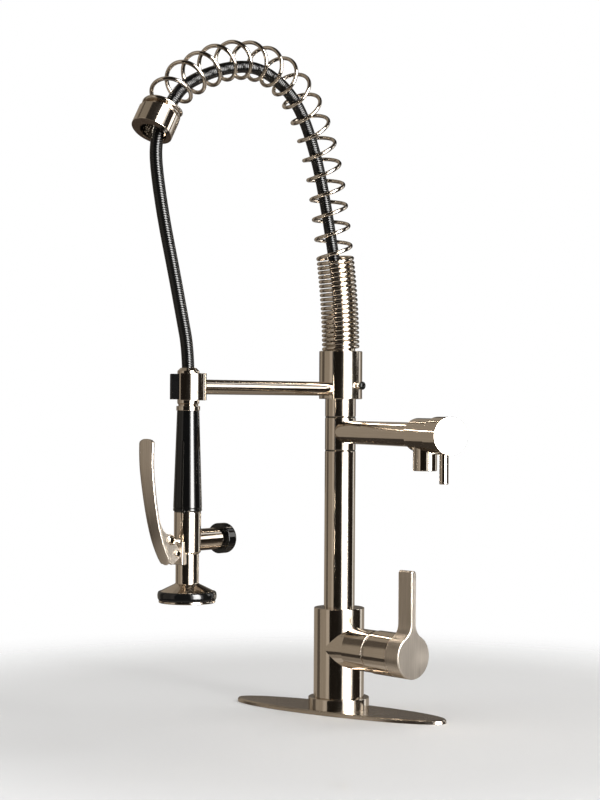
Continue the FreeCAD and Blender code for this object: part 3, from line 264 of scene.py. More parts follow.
# Each card: name, first and last bearing in degrees to the right of the camera, the radius and
# height of its two edges, colour
CARDS = [
    ("dark_room", -46, 13, FOOT, TOP, DARK_ROOM),
    ("wall_light_strip", -62, -46, FOOT, TOP, (0.50, 0.45, 0.39)),
    ("wall_near", -98, -62, FOOT, TOP, TAN_WALL),
    ("wall_shade_strip", -118, -98, FOOT, TOP, (0.10, 0.085, 0.07)),
    ("wall_far", -180, -118, FOOT, TOP, TAN_WALL),
    ("window_edge", 15, 24, FOOT, TOP, WINDOW_EDGE),
    ("window_core", 24, 52, FOOT, TOP, WINDOW),
    ("window_end", 52, 58, FOOT, TOP, WINDOW_EDGE),
    ("dark_side", 64, 112, FOOT, TOP, DARK_SIDE),
    ("side_wall", 124, 180, FOOT, MIDDLE, (0.36, 0.33, 0.29)),
    ("side_wall_top", 124, 180, MIDDLE, TOP, (0.04, 0.035, 0.03)),
    ("side_light", 91, 104, (2.5, 0.47), (2.5, 1.7), (2.6, 2.55, 2.45)),
    ("back_wall", 140, 220, (2.5, 0.12), (2.5, 0.80), (0.13, 0.115, 0.10)),
]
LEVELS = [
    ("ceiling_room", -50, 190, (0.0, CEILING_CARD), (2.7, CEILING_CARD), (0.03, 0.026, 0.022)),
    ("ceiling_wall", -170, -50, (0.0, CEILING_CARD), (2.7, CEILING_CARD), (0.26, 0.23, 0.19)),
    ("floor_near", 0, 360, (0.0, FLOOR_CARD), (0.8, FLOOR_CARD), (0.45, 0.41, 0.36)),
    ("floor_middle", -130, 170, (0.8, FLOOR_CARD), (1.35, FLOOR_CARD), (0.26, 0.23, 0.195)),
    ("floor_shade", 170, 230, (0.8, FLOOR_CARD), (1.35, FLOOR_CARD), (0.055, 0.042, 0.034)),
    ("floor_far", 0, 360, (1.35, FLOOR_CARD), (2.7, FLOOR_CARD), (0.05, 0.042, 0.035)),
]
# Each softbox: name, bearing, height, width, height of its face, watts, whether reflections see it
SOFTBOXES = [
    ("window_strip", 38, 0.75, 0.42, 1.7, 14, True),
    ("fill_left", -70, 1.3, 1.4, 1.4, 7, False),
    ("top_soft", 100, 2.3, 1.6, 1.6, 12, False),
]
SOFTBOX_DISTANCE = 2.3
SOFTBOX_TARGET = Vector((0, -0.1, 0.3))


def bearing(degrees):
    """Level direction that many degrees to the right of the camera, as seen from the object."""
    turn = CAMERA_TURN + math.radians(degrees)
    return Vector((math.sin(turn), -math.cos(turn), 0))


def add_card(name, first, last, low, high, colour, step):
    """Glowing card between two bearings that only reflections see."""
    steps = max(2, round((last - first) / step))
    points = []
    for i in range(steps + 1):
        way = bearing(first + (last - first) * i / steps)
        points += [(way.x * radius, way.y * radius, height) for radius, height in (low, high)]
    faces = [(2 * i, 2 * i + 2, 2 * i + 3, 2 * i + 1) for i in range(steps)]
    card = link(mesh_object("card_" + name, points, faces, smooth=False))
    paint = bpy.data.materials.new("card_" + name)
    paint.use_nodes = True
    tree = paint.node_tree
    tree.nodes.clear()
    glow = add(tree, "ShaderNodeEmission", {"Color": (*colour, 1), "Strength": 1.0})
    add(tree, "ShaderNodeOutputMaterial", {"Surface": glow.outputs[0]})
    card.data.materials.append(paint)
    card.visible_camera = card.visible_diffuse = False
    card.visible_shadow = card.visible_transmission = False


def add_softbox(name, degrees, height, width, tall, watts, reflected):
    lamp = bpy.data.lights.new(name, "AREA")
    lamp.shape = "RECTANGLE"
    lamp.size = width
    lamp.size_y = tall
    lamp.energy = watts
    box = link(bpy.data.objects.new(name, lamp))
    box.location = bearing(degrees) * SOFTBOX_DISTANCE + Vector((0, 0, height))
    box.rotation_euler = (SOFTBOX_TARGET - box.location).to_track_quat("-Z", "Y").to_euler()
    box.visible_camera = False
    box.visible_glossy = reflected


for row in CARDS:
    add_card(*row, CARD_STEP)
for row in LEVELS:
    add_card(*row, LEVEL_STEP)
for row in SOFTBOXES:
    add_softbox(*row)
print("cards", len(CARDS) + len(LEVELS))

# %% [markdown]
# ## Shared surface effects
# Four effects recur on the finishes: the fine hairlines that a polishing belt leaves, the cloudy
# marks of hands and dried water, the pebble of a mould, and the strands of a woven jacket. Each is
# a node group with its own inputs, so one group serves several materials at different scales. The
# hairlines read the attribute grain, which each piece stores along its own axis.

# %% Effect groups
FINE_LINES = 3.1        # times as many as the coarse lines
COARSE_SHARE, FINE_SHARE = 0.65, 0.35
DROPS_PER_CLOUD = 6.0
DROP_RADIUS, DROP_EDGE, DROP_TONE = 0.16, 0.03, 0.25
TONES_PER_METRE = 40.0


def noise(tree, place, scale, detail, roughness=0.5):
    return add(tree, "ShaderNodeTexNoise", {"Vector": place, "Scale": scale, "Detail": detail,
                                            "Roughness": roughness}).outputs[0]


def hairline_group():
    """Long fine lines along the grain: 0 to 1."""
    tree, given, put = group_tree("Hairlines", "ShaderNodeTree",
                                  {"Grain": "Vector", "Lines per metre": 900.0}, {"Lines": "Float"})
    lines = given["Lines per metre"]
    coarse = noise(tree, given["Grain"], lines, 2.0, 0.65)
    fine = noise(tree, given["Grain"], maths(tree, "MULTIPLY", lines, FINE_LINES), 1.0)
    both = weighted(tree, coarse, COARSE_SHARE, fine, FINE_SHARE)
    feed(tree, put["Lines"], ranged(tree, both, 0.3, 0.7))
    return tree


def marks_group():
    """Cloudy handling marks with a few dried drops: 0 clean to 1 marked."""
    tree, given, put = group_tree("Handling marks", "ShaderNodeTree",
                                  {"Place": "Vector", "Clouds per metre": 22.0}, {"Marks": "Float"})
    clouds = given["Clouds per metre"]
    soft = ranged(tree, noise(tree, given["Place"], clouds, 5.0, 0.6), 0.42, 0.72)
    drops = maths(tree, "MULTIPLY", clouds, DROPS_PER_CLOUD)
    drop = add(tree, "ShaderNodeTexVoronoi", {"Vector": given["Place"], "Scale": drops, "Randomness": 1.0},
               feature="F1")
    edge = maths(tree, "SUBTRACT", drop.outputs["Distance"], DROP_RADIUS)
    ring = maths(tree, "LESS_THAN", maths(tree, "ABSOLUTE", edge), DROP_EDGE)
    joined = maths(tree, "ADD", soft, maths(tree, "MULTIPLY", ring, DROP_TONE))
    feed(tree, put["Marks"], maths(tree, "MINIMUM", joined, 1.0))
    return tree


def mould_group():
    """Fine pebble of a moulded or machined surface: a height and a tone, both 0 to 1."""
    tree, given, put = group_tree("Mould pebble", "ShaderNodeTree",
                                  {"Place": "Vector", "Pebbles per metre": 1800.0},
                                  {"Height": "Float", "Tone": "Float"})
    feed(tree, put["Height"], noise(tree, given["Place"], given["Pebbles per metre"], 3.0, 0.55))
    feed(tree, put["Tone"], noise(tree, given["Place"], TONES_PER_METRE, 4.0))
    return tree


def braid_group():
    """Two families of strands round a hose: height and a mask of the gaps, both 0 to 1."""
    tree, given, put = group_tree("Braid", "ShaderNodeTree",
                                  {"Round": "Float", "Along": "Float", "Strands": 14.0, "Pitch": 0.030},
                                  {"Height": "Float", "Gaps": "Float"})
    turn = maths(tree, "MULTIPLY", given["Round"], given["Strands"])
    rise = maths(tree, "DIVIDE", given["Along"], given["Pitch"])
    rise = maths(tree, "MULTIPLY", rise, given["Strands"])
    waves = []
    for lean in ("ADD", "SUBTRACT"):
        angle = maths(tree, "MULTIPLY", maths(tree, lean, turn, rise), math.pi)
        waves.append(maths(tree, "ABSOLUTE", maths(tree, "SINE", angle)))
    height = weighted(tree, maths(tree, "MAXIMUM", *waves), 0.6, maths(tree, "MULTIPLY", *waves), 0.4)
    feed(tree, put["Height"], height)
    feed(tree, put["Gaps"], maths(tree, "SUBTRACT", 1.0, height))
    return tree


HAIRLINES = hairline_group()
MARKS = marks_group()
MOULD = mould_group()
BRAID = braid_group()
print("effect groups", [group.name for group in bpy.data.node_groups])

# %% [markdown]
# ## Finishes
# Nickel plating is a warm grey metal. Polished nickel keeps sharp reflections, so its roughness
# stays low and only the hairlines and marks lift it. The black plastics are gloss mouldings, the
# hose has a woven jacket, and what is out of sight is bare brass, steel, rubber and plastic.

# %% Finishes
NICKEL_CLOUDS, PLASTIC_CLOUDS = 26.0, 34.0
TOOL_PEBBLES, MOULD_PEBBLES = 1500.0, 1800.0
LINE_HEIGHT, PEBBLE_HEIGHT, STRAND_HEIGHT = 0.00012, 0.0001, 0.0006
TOOL_DEPTH, STRAND_DEPTH = 0.05, 0.9
JACKET_PLAIN, JACKET_ROUGH = (0.012, 0.012, 0.013), 0.25


def use(tree, group, **inputs):
    """Places an effect group, its inputs by name with _ for spaces; returns its outputs."""
    sockets = {key.replace("_", " "): value for key, value in inputs.items()}
    return add(tree, "ShaderNodeGroup", sockets, node_tree=group).outputs


def two_tone(tree, mask, low, high, target):
    """Colour between two tones by a mask, into a colour socket."""
    mix = add(tree, "ShaderNodeMix", data_type="RGBA")
    first, second = [s for s in mix.inputs if s.type == "RGBA"]
    first.default_value = (*low, 1)
    second.default_value = (*high, 1)
    feed(tree, mix.inputs[0], mask)
    feed(tree, target, [s for s in mix.outputs if s.type == "RGBA"][0])


def surface(tree, shader, tone, dark, light, worn, smooth, rough, height, depth, distance):
    """Colour by a tone, roughness by wear and bump by a height, into a shader."""
    two_tone(tree, tone, dark, light, shader["Base Color"])
    feed(tree, shader["Roughness"], ranged(tree, worn, 0.0, 1.0, smooth, rough))
    bump = add(tree, "ShaderNodeBump", {"Strength": depth, "Distance": distance, "Height": height})
    feed(tree, shader["Normal"], bump.outputs["Normal"])


def nickel_finish(name, light, dark, smooth, rough, lines=900.0, depth=0.05):
    """Plated metal with hairlines along the piece's grain and faint handling marks."""
    paint, tree, shader = blank(name, light, 1.0, smooth)
    grain = add(tree, "ShaderNodeAttribute", attribute_name="grain").outputs["Vector"]
    place = add(tree, "ShaderNodeTexCoord").outputs["Object"]
    line = use(tree, HAIRLINES, Grain=grain, Lines_per_metre=lines)["Lines"]
    mark = use(tree, MARKS, Place=place, Clouds_per_metre=NICKEL_CLOUDS)["Marks"]
    worn = weighted(tree, line, 0.6, mark, 0.4)
    surface(tree, shader, line, dark, light, worn, smooth, rough, line, depth, LINE_HEIGHT)
    return paint


def bare_metal(name, light, dark, smooth, rough):
    """Unplated metal that shows faint machining on its own coordinates."""
    paint, tree, shader = blank(name, light, 1.0, smooth)
    place = add(tree, "ShaderNodeTexCoord").outputs["Object"]
    tooled = use(tree, MOULD, Place=place, Pebbles_per_metre=TOOL_PEBBLES)
    height = tooled["Height"]
    surface(tree, shader, tooled["Tone"], dark, light, height, smooth, rough, height, TOOL_DEPTH,
            PEBBLE_HEIGHT)
    return paint


def moulded(name, light, dark, smooth, rough, depth=0.06):
    """Plastic or rubber with a mould's pebble and a slight drift of tone."""
    paint, tree, shader = blank(name, light, 0.0, smooth)
    place = add(tree, "ShaderNodeTexCoord").outputs["Object"]
    skin = use(tree, MOULD, Place=place, Pebbles_per_metre=MOULD_PEBBLES)
    mark = use(tree, MARKS, Place=place, Clouds_per_metre=PLASTIC_CLOUDS)["Marks"]
    height = skin["Height"]
    worn = weighted(tree, height, 0.4, mark, 0.6)
    surface(tree, shader, skin["Tone"], dark, light, worn, smooth, rough, height, depth, PEBBLE_HEIGHT)
    return paint


def braided(name, strand, gap_shade, smooth, rough):
    """Black woven jacket: strands on the piece's own UV map, painted shade in the gaps, which are rougher.
    """
    paint, tree, shader = blank(name, JACKET_PLAIN, 0.0, JACKET_ROUGH)
    chart = add(tree, "ShaderNodeUVMap", uv_map="jacket").outputs["UV"]
    split = add(tree, "ShaderNodeSeparateXYZ", {0: chart}).outputs
    weave = use(tree, BRAID, Round=split["X"], Along=split["Y"], Strands=2.0, Pitch=0.0046)
    gaps = weave["Gaps"]
    # The gaps mask darkens the colour as painted shade between the strands, and raises the roughness there.
    surface(tree, shader, gaps, strand, gap_shade, gaps, smooth, rough, weave["Height"], STRAND_DEPTH,
            STRAND_HEIGHT)
    return paint


def grey(tone):
    return (tone, tone, tone)


NICKEL = nickel_finish("polished_nickel", (0.76, 0.68, 0.585), (0.66, 0.58, 0.49), 0.06, 0.17)
NICKEL_BRUSHED = nickel_finish("brushed_nickel", (0.72, 0.64, 0.55), (0.56, 0.49, 0.41), 0.16, 0.30,
                               lines=750.0, depth=0.12)
NICKEL_SATIN = nickel_finish("satin_nickel", (0.80, 0.72, 0.63), (0.62, 0.55, 0.47), 0.28, 0.44,
                             lines=750.0, depth=0.08)
SPRING_WIRE = bare_metal("spring_wire", (0.74, 0.67, 0.585), (0.66, 0.59, 0.51), 0.06, 0.14)
BRASS = bare_metal("bare_brass", (0.74, 0.58, 0.30), (0.62, 0.47, 0.23), 0.22, 0.38)
STEEL = bare_metal("zinc_steel", (0.62, 0.61, 0.59), (0.52, 0.51, 0.50), 0.22, 0.36)
BLACK_GLOSS = moulded("black_gloss_grip", grey(0.008), grey(0.004), 0.04, 0.10, depth=0.02)
RUBBER = moulded("black_rubber", (0.020, 0.020, 0.021), grey(0.012), 0.28, 0.5)
RIM_RUBBER = moulded("rim_rubber", grey(0.010), grey(0.005), 0.07, 0.16, depth=0.03)
BLACK_MATTE = moulded("black_liner", grey(0.010), grey(0.006), 0.10, 0.20)
WHITE_PLASTIC = moulded("white_moulding", (0.80, 0.79, 0.75), (0.70, 0.69, 0.65), 0.35, 0.5)
# The second tone is painted shade in the gaps between the strands.
HOSE_JACKET = braided("hose_jacket", grey(0.006), grey(0.002), 0.12, 0.26)
# The record's material slots, each with its finishes; the first is for its CAD nodes
SLOT_FINISHES = {"nickel": (NICKEL, NICKEL_BRUSHED, NICKEL_SATIN), "spring_steel": (SPRING_WIRE,),
                 "brass": (BRASS,), "steel": (STEEL,), "rubber": (RUBBER, RIM_RUBBER),
                 "black_gloss": (BLACK_GLOSS,), "black_matte": (BLACK_MATTE,),
                 "white_plastic": (WHITE_PLASTIC,), "black_hose": (HOSE_JACKET,)}

# %% [markdown]
# ## Turned pieces
# Most of the faucet is turned on a lathe, so its pieces are profiles spun about an axis. What makes
# turned metal look real is the small round on every edge, which catches a line of light. A profile
# is a list of corners, each with its rounding, and the exact normals of the lines and arcs go into
# the mesh, so that flat bands stay flat right up to their rounds.

# %% Lathe helpers
BRUSH_STRETCH = 0.02
ARC_STEP = 18
ON_AXIS = 1e-6
WIDE, FINE, PLAIN, ROD, SCREW, PIN = 128, 112, 96, 64, 48, 40    # steps round a piece


class Axis:
    """A place in mm, a direction along a piece and one across it."""

    def __init__(self, origin, along, across):
        self.origin = Vector(origin)
        self.along = Vector(along).normalized()
        self.across = Vector(across).normalized()
        self.third = self.along.cross(self.across)

    def point(self, side, third, along):
        return self.origin + self.across * side + self.third * third + self.along * along

    def way(self, side, third, along):
        return self.across * side + self.third * third + self.along * along


class Shell:
    """Growing mesh with its own normals and grain; several shells can go into one piece."""

    def __init__(self):
        self.points, self.grain, self.faces, self.normals = [], [], [], []

    def vertex(self, place, grain):
        self.points.append(place * MM)
        self.grain.append(grain * MM)
        return len(self.points) - 1

    def face(self, corners, normals):
        self.faces.append(corners)
        self.normals += [n.normalized() for n in normals]


def arc_step(way, onward, corner, radius):
    """Rounded corner between two directions: pairs of point and outward normal."""
    out = Vector((way.y, -way.x))
    out_next = Vector((onward.y, -onward.x))
    turn = way.angle(onward)
    sign = 1 if way.x * onward.y - way.y * onward.x > 0 else -1
    centre = corner - way * (radius * math.tan(turn / 2)) - out * radius * sign
    count = max(2, math.ceil(math.degrees(turn) / ARC_STEP))
    steps = []
    for i in range(count + 1):
        before, after = math.sin(turn * (1 - i / count)), math.sin(turn * i / count)
        normal = (out * before + out_next * after) / math.sin(turn)
        steps.append((centre + normal * radius * sign, normal))
    return steps


def profile(*corners):
    """Outline of (radius, height, rounding) in mm, outside on its right: list of strips of two
    points with their normals."""
    points = [Vector(c[:2]) for c in corners]
    strips = []
    here = points[0]
    for i in range(1, len(points)):
        way = (points[i] - points[i - 1]).normalized()
        out = Vector((way.y, -way.x))
        rounding = corners[i][2] if len(corners[i]) > 2 and i < len(points) - 1 else 0
        if rounding == 0:
            strips.append((here, out, points[i], out))
            here = points[i]
            continue
        onward = (points[i + 1] - points[i]).normalized()
        arc = arc_step(way, onward, points[i], rounding)
        strips.append((here, out, arc[0][0], out))
        strips += [(*a, *b) for a, b in zip(arc, arc[1:])]
        here = arc[-1][0]
    return strips


def plug(radius, low, high, round_low, round_high):
    """Profile of a plain closed cylinder with rounded ends."""
    return profile((0, low), (radius, low, round_low), (radius, high, round_high), (0, high))


def spin(shell, strips, axis, steps=PLAIN):
    """Spins a profile about an axis into a shell."""
    spokes = circle(steps)
    rings = []
    for r, h in [strips[0][0]] + [strip[2] for strip in strips]:
        lift = h * BRUSH_STRETCH
        if r < ON_AXIS:
            rings.append([shell.vertex(axis.point(0, 0, h), Vector((0, 0, lift)))] * steps)
            continue
        rings.append([shell.vertex(axis.point(r * c, r * s, h), Vector((r * c, r * s, lift)))
                      for c, s in spokes])
    for i, (low, low_out, high, high_out) in enumerate(strips):
        for j in range(steps):
            k = (j + 1) % steps
            ways = []
            for turn, out in ((j, low_out), (k, low_out), (k, high_out), (j, high_out)):
                c, s = spokes[turn]
                ways.append(axis.way(out.x * c, out.x * s, out.y))
            corners = [rings[i][j], rings[i][k], rings[i + 1][k], rings[i + 1][j]]
            if low.x < ON_AXIS:
                corners, ways = corners[1:], ways[1:]
            elif high.x < ON_AXIS:
                corners, ways = corners[:3], ways[:3]
            shell.face(corners, ways)
    return shell


def dress(thing, finish, body, *nodes):
    """Links an object, gives it its finish and ties it to the frame."""
    if thing.name not in scene.collection.objects:
        link(thing)
    thing.data.materials.clear()
    thing.data.materials.append(finish)
    if body:
        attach(thing, body)
    if nodes:
        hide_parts(*nodes)
    return thing


def piece(name, shell, finish, body, *nodes):
    """Makes a shell an object with its finish, which rides on a body and stands for CAD nodes."""
    thing = mesh_object(name, shell.points, shell.faces)
    thing.data.normals_split_custom_set(shell.normals)
    store_grain(thing.data, shell.grain)
    return dress(thing, finish, body, *nodes)


def turned(name, strips, axis, body, steps=PLAIN, finish=NICKEL):
    """One turned piece that replaces the CAD node of its own name."""
    return piece(name + "_turned", spin(Shell(), strips, axis, steps), finish, body, name)


COLUMN = Axis((0, 0, 0), UP, RIGHT)
STUB_HEIGHT = 68.7
HANDLE_TURN = math.radians(9.0)
STUB = Axis((0, 0, STUB_HEIGHT), (math.cos(HANDLE_TURN), -math.sin(HANDLE_TURN), 0), UP)
print("lathe ready")

# %% [markdown]
# ## Flat pieces with a shaped edge
# The deck plate and the handle's teardrop are flat shapes with a smooth outline. They are drawn as
# an outline with its normals, and an edge profile runs round it, so the bevel that catches the
# light follows the outline exactly.

# %% Slab helpers


def brushed(place, brush):
    """Grain at a place: the place itself, drawn together along the direction of the hairlines."""
    return place - brush * (place.dot(brush) * (1 - BRUSH_STRETCH))


def slab(shell, outline, edge, axis, brush):
    """Closes an outline of (side, third, normal side, normal third) with an edge profile whose
    first coordinate is the offset from the outline."""
    count = len(outline)
    loops = []
    for offset, height in [edge[0][0]] + [strip[2] for strip in edge]:
        flats = [Vector((s + ns * offset, t + nt * offset, height)) for s, t, ns, nt in outline]
        places = [axis.point(s + ns * offset, t + nt * offset, height) for s, t, ns, nt in outline]
        loops.append([shell.vertex(place, brushed(flat, brush)) for place, flat in zip(places, flats)])
    for i, (_, low_out, _, high_out) in enumerate(edge):
        for j in range(count):
            k = (j + 1) % count
            ways = []
            for m, out in ((j, low_out), (k, low_out), (k, high_out), (j, high_out)):
                ways.append(axis.way(outline[m][2] * out.x, outline[m][3] * out.x, out.y))
            shell.face([loops[i][j], loops[i][k], loops[i + 1][k], loops[i + 1][j]], ways)
    shell.face(loops[-1], [axis.along] * count)
    shell.face(loops[0][::-1], [-axis.along] * count)
    return shell


def ellipse(long_half, wide_half, steps=160):
    outline = []
    for c, s in circle(steps):
        normal = Vector((c / long_half, s / wide_half)).normalized()
        outline.append((long_half * c, wide_half * s, normal.x, normal.y))
    return outline


# %% [markdown]
# ## Deck plate, ring and valve body
# The oval plate covers the holes of a sink deck. It is 260 mm long, thin, with a short skirt and a
# bevelled edge, and brushed along its length. On it stand the base ring and the valve body, whose
# stub to the right carries the mixer handle and grows out of the body in a pointed fairing. The
# body and its stub are two turned shells in one piece.

# %% Deck and body
PLATE_TURN = math.radians(5)
PLATE_AXIS = Axis((0, 0, 0), UP, (math.cos(PLATE_TURN), math.sin(PLATE_TURN), 0))
PLATE_EDGE = profile((-0.8, 0.15), (0, 0.15, 0.2), (0, 3.0, 0.4), (-1.3, 4.4, 0.5), (-8, 4.4))
PLATE_HALF_LONG, PLATE_HALF_WIDE = 130, 33.5
STUB_RADIUS, STUB_END = 21.8, 57.1


def deck_and_body():
    plate = slab(Shell(), ellipse(PLATE_HALF_LONG, PLATE_HALF_WIDE), PLATE_EDGE, PLATE_AXIS, Vector(RIGHT))
    piece("deck_plate_oval", plate, NICKEL_BRUSHED, "base", "deck_plate")
    turned("base_ring", plug(32, 4.4, 16.4, 0.3, 0.9), COLUMN, "base", WIDE)
    body = spin(Shell(), plug(26.5, 16.4, 110, 0.4, 0.9), COLUMN, WIDE)
    stub = profile((0, 5), (26.0, 5), (STUB_RADIUS, 27, 6.0), (STUB_RADIUS, STUB_END, 0.7), (20.4, STUB_END),
                   (20.4, 58.8), (0, 58.8))
    spin(body, stub, STUB, FINE)
    piece("valve_body_turned", body, NICKEL, "base", "valve_body")
    turned("trim_ring", plug(21.7, 58.1, 60.1, 0.7, 0.7), STUB, "base")


deck_and_body()

# %% [markdown]
# ## Handle
# The hub tilts over the stub and ends in a teardrop: the hub's circle drawn up through two hollow
# arcs into a thin blade with a round top. The outline is made of those arcs and straight lines, all
# tangent to each other, and a narrow bevel round the front gives the bright line of the picture.

# %% Handle
HUB_RADIUS = 22.5
BLADE_HALF = 3.5
BLADE_FILLET = 16.0
BLADE_RISE = 87.0
LEVER_BACK, LEVER_FRONT = 93, 112


def oriented(outline):
    """The outline, anticlockwise."""
    area = sum(a[0] * b[1] - a[1] * b[0] for a, b in zip(outline, outline[1:] + outline[:1]))
    return outline if area > 0 else outline[::-1]


def teardrop(steps=26, parts=4):
    """Outline of the lever, with normals: rise along side, across along third."""
    across = BLADE_HALF + BLADE_FILLET
    rise = math.sqrt((HUB_RADIUS + BLADE_FILLET) ** 2 - across ** 2)
    slant = math.atan2(rise, across)
    top = BLADE_RISE - BLADE_HALF
    outline = []

    def arc(angles, centre_up, centre_out, radius, side, facing):
        for a in angles:
            up, out = math.sin(a), math.cos(a)
            outline.append((centre_up + radius * up, centre_out + side * radius * out, up, facing * out))

    round_hub = [slant + (-math.pi - 2 * slant) * i / (3 * steps) for i in range(3 * steps + 1)]
    arc(round_hub, 0, 0, HUB_RADIUS, 1, 1)
    arc([slant * (1 - i / steps) for i in range(1, steps + 1)], rise, -across, -BLADE_FILLET, -1, -1)
    outline += [(rise + (top - rise) * i / parts, -BLADE_HALF, 0, -1) for i in range(1, parts + 1)]
    arc([math.pi - math.pi * i / steps for i in range(1, steps + 1)], top, 0, BLADE_HALF, 1, 1)
    outline += [(top + (rise - top) * i / parts, BLADE_HALF, 0, 1) for i in range(1, parts + 1)]
    arc([slant * i / steps for i in range(1, steps)], rise, across, -BLADE_FILLET, 1, 1)
    return oriented(outline)


def handle():
    hub = profile((0, 80), (19.1, 80), (19.1, 67), (22.0, 61, 0.15), (HUB_RADIUS, 61.4, 0.2),
                  (HUB_RADIUS, LEVER_BACK), (0, LEVER_BACK))
    turned("handle_hub", hub, STUB, "handle", FINE)
    edge = profile((-1.5, LEVER_BACK), (0, LEVER_BACK, 0.2), (0, 111.2, 0.3), (-0.9, LEVER_FRONT, 0.3),
                   (-1.6, LEVER_FRONT))
    lever = slab(Shell(), teardrop(), edge, STUB, Vector(RIGHT))
    piece("handle_lever_teardrop", lever, NICKEL_SATIN, "handle", "handle_lever")
    return len(lever.points)


print("lever points", handle())

# %% [markdown]
# ## Column and pot filler
# The column is one tube in two lengths with the pot filler's swivel between them. The spout's tube
# runs out of the swivel ring to a wider sleeve with the outlet under it, and a knob with a short
# rod on its end opens the water.

# %% Column and pot filler
SPOUT_TURN = math.radians(25.8)
SPOUT_WAY = Vector((math.cos(SPOUT_TURN), -math.sin(SPOUT_TURN), 0))
SPOUT = Axis((0, 0, 294.3), SPOUT_WAY, UP)
OUTLET = Axis(SPOUT_WAY * 190, UP, RIGHT)
KNOB_ROD = Axis(SPOUT_WAY * 228.2, UP, RIGHT)
COLUMN_RADIUS = 16.2
OUTLET_PROFILE = profile((0, 268.5), (9.8, 268.5), (9.8, 259.9, 0.4), (11.6, 259.9, 0.8), (11.6, 288),
                         (0, 288))

for row in (("pole_lower", plug(COLUMN_RADIUS, 102, 274.4, 0.2, 0.9), COLUMN, "base", FINE),
            ("pole_upper", plug(COLUMN_RADIUS, 310.2, 352, 0.9, 0.2), COLUMN, "base", FINE),
            ("spout_ring", plug(COLUMN_RADIUS, 275.15, 309.45, 0.9, 0.9), COLUMN, "pot_filler", FINE),
            ("spout_tube", plug(12, 10, 183, 0.2, 0.2), SPOUT, "pot_filler"),
            ("spout_sleeve", plug(16.4, 175, 216, 0.9, 0.4), SPOUT, "pot_filler"),
            ("aerator_housing", OUTLET_PROFILE, OUTLET, "pot_filler"),
            ("spout_knob", plug(18.1, 216.1, 241.1, 0.5, 0.6), SPOUT, "pot_filler_knob"),
            ("spout_knob_rod", plug(4.4, 248.5, 280, 0.9, 0.2), KNOB_ROD, "pot_filler_knob", SCREW)):
    turned(*row)

# %% [markdown]
# ## Collar, arm and clip
# A collar on top of the column carries the spray arm, whose open clip holds the handset's neck. The
# clip is open to the front left. It and its black liner, whose two straight lips stand out of the
# mouth, are cut from plate, so they are drawn as outlines, extruded, and given small bevels by
# Blender's Bevel modifier.

# %% Prism helper
BEVEL_STEPS = 3
BEVEL_ANGLE = math.radians(30)


def prism(name, outline, axis, low, high, bevel):
    """Extrudes a closed outline of (side, third) in mm along an axis and bevels its edges."""
    count = len(outline)
    points = [axis.point(s, t, height) * MM for height in (low, high) for s, t in outline]
    faces = [list(range(count))[::-1], list(range(count, 2 * count))]
    for i in range(count):
        k = (i + 1) % count
        faces.append([i, k, count + k, count + i])
    thing = link(mesh_object(name, points, faces))
    cut = thing.modifiers.new("edges", "BEVEL")
    cut.width = bevel * MM
    cut.segments = BEVEL_STEPS
    cut.limit_method = "ANGLE"
    cut.angle_limit = BEVEL_ANGLE
    cut.harden_normals = True
    mesh = plain_mesh(thing)
    thing.modifiers.clear()
    thing.data = mesh
    store_grain(mesh, [brushed(vertex.co, Vector(UP)) for vertex in mesh.vertices])
    return thing


def circle_part(radius, first, last, steps=44):
    """Points of an arc in degrees round the axis."""
    turns = [math.radians(first + (last - first) * i / steps) for i in range(steps + 1)]
    return [(radius * math.cos(a), radius * math.sin(a)) for a in turns]


# %% Collar, arm and clip
HANDSET_PLACE = (0, -233, 0)
ARM = Axis((0, 0, 339.4), (0, -1, 0), UP)
HANDSET = Axis(HANDSET_PLACE, UP, RIGHT)
CLIP_TURN = math.radians(-45)
CLIP = Axis(HANDSET_PLACE, UP, (math.cos(CLIP_TURN), math.sin(CLIP_TURN), 0))
CLAMP = Axis((0, 0, 343), RIGHT, UP)
COLLAR_TOP = 379.3
CLIP_OUTER, CLIP_INNER, CLIP_MOUTH = 17.5, 14.1, 9.0
LINER_OUTER, LINER_INNER = 14.05, 10.85
LIP_REACH, LIP_ROUND = 17.4, 1.2
CLAMP_HEAD = profile((0, 26.6), (2.6, 26.6, 0.4), (4.3, 28.0, 1.2), (4.2, 30.9, 1.6), (1.6, 30.9, 0.3),
                     (1.4, 29.4), (0, 29.4))
CLAMP_SHAFT = profile((0, 19), (3.2, 19), (3.2, 23.6), (4.0, 23.6, 0.4), (4.0, 25.8, 0.4), (2.9, 25.8),
                      (2.9, 27.4), (0, 27.4))
SEAT = profile((12.2, COLLAR_TOP), (15.2, COLLAR_TOP, 0.2), (15.2, 386.3, 0.8), (12.2, 386.3, 0.4),
               (12.2, COLLAR_TOP))


def open_ring(outer, inner):
    """Outline of a ring that is open by a slot as wide as its bore."""
    lean = math.degrees(math.asin(CLIP_MOUTH / outer))
    outside = circle_part(outer, -lean, 180 + lean)
    return outside + [(-inner, -CLIP_MOUTH)] + circle_part(inner, 180, 0) + [(inner, -CLIP_MOUTH)]


def lipped_ring(outer, inner):
    """Outline of the liner: half a ring that goes on in two straight lips."""
    lip = [(-outer, LIP_ROUND - LIP_REACH), (LIP_ROUND - outer, -LIP_REACH),
           (-inner - LIP_ROUND, -LIP_REACH), (-inner, LIP_ROUND - LIP_REACH)]
    other = [(-s, t) for s, t in lip[::-1]]
    return circle_part(outer, 0, 180) + lip + circle_part(inner, 180, 0) + other


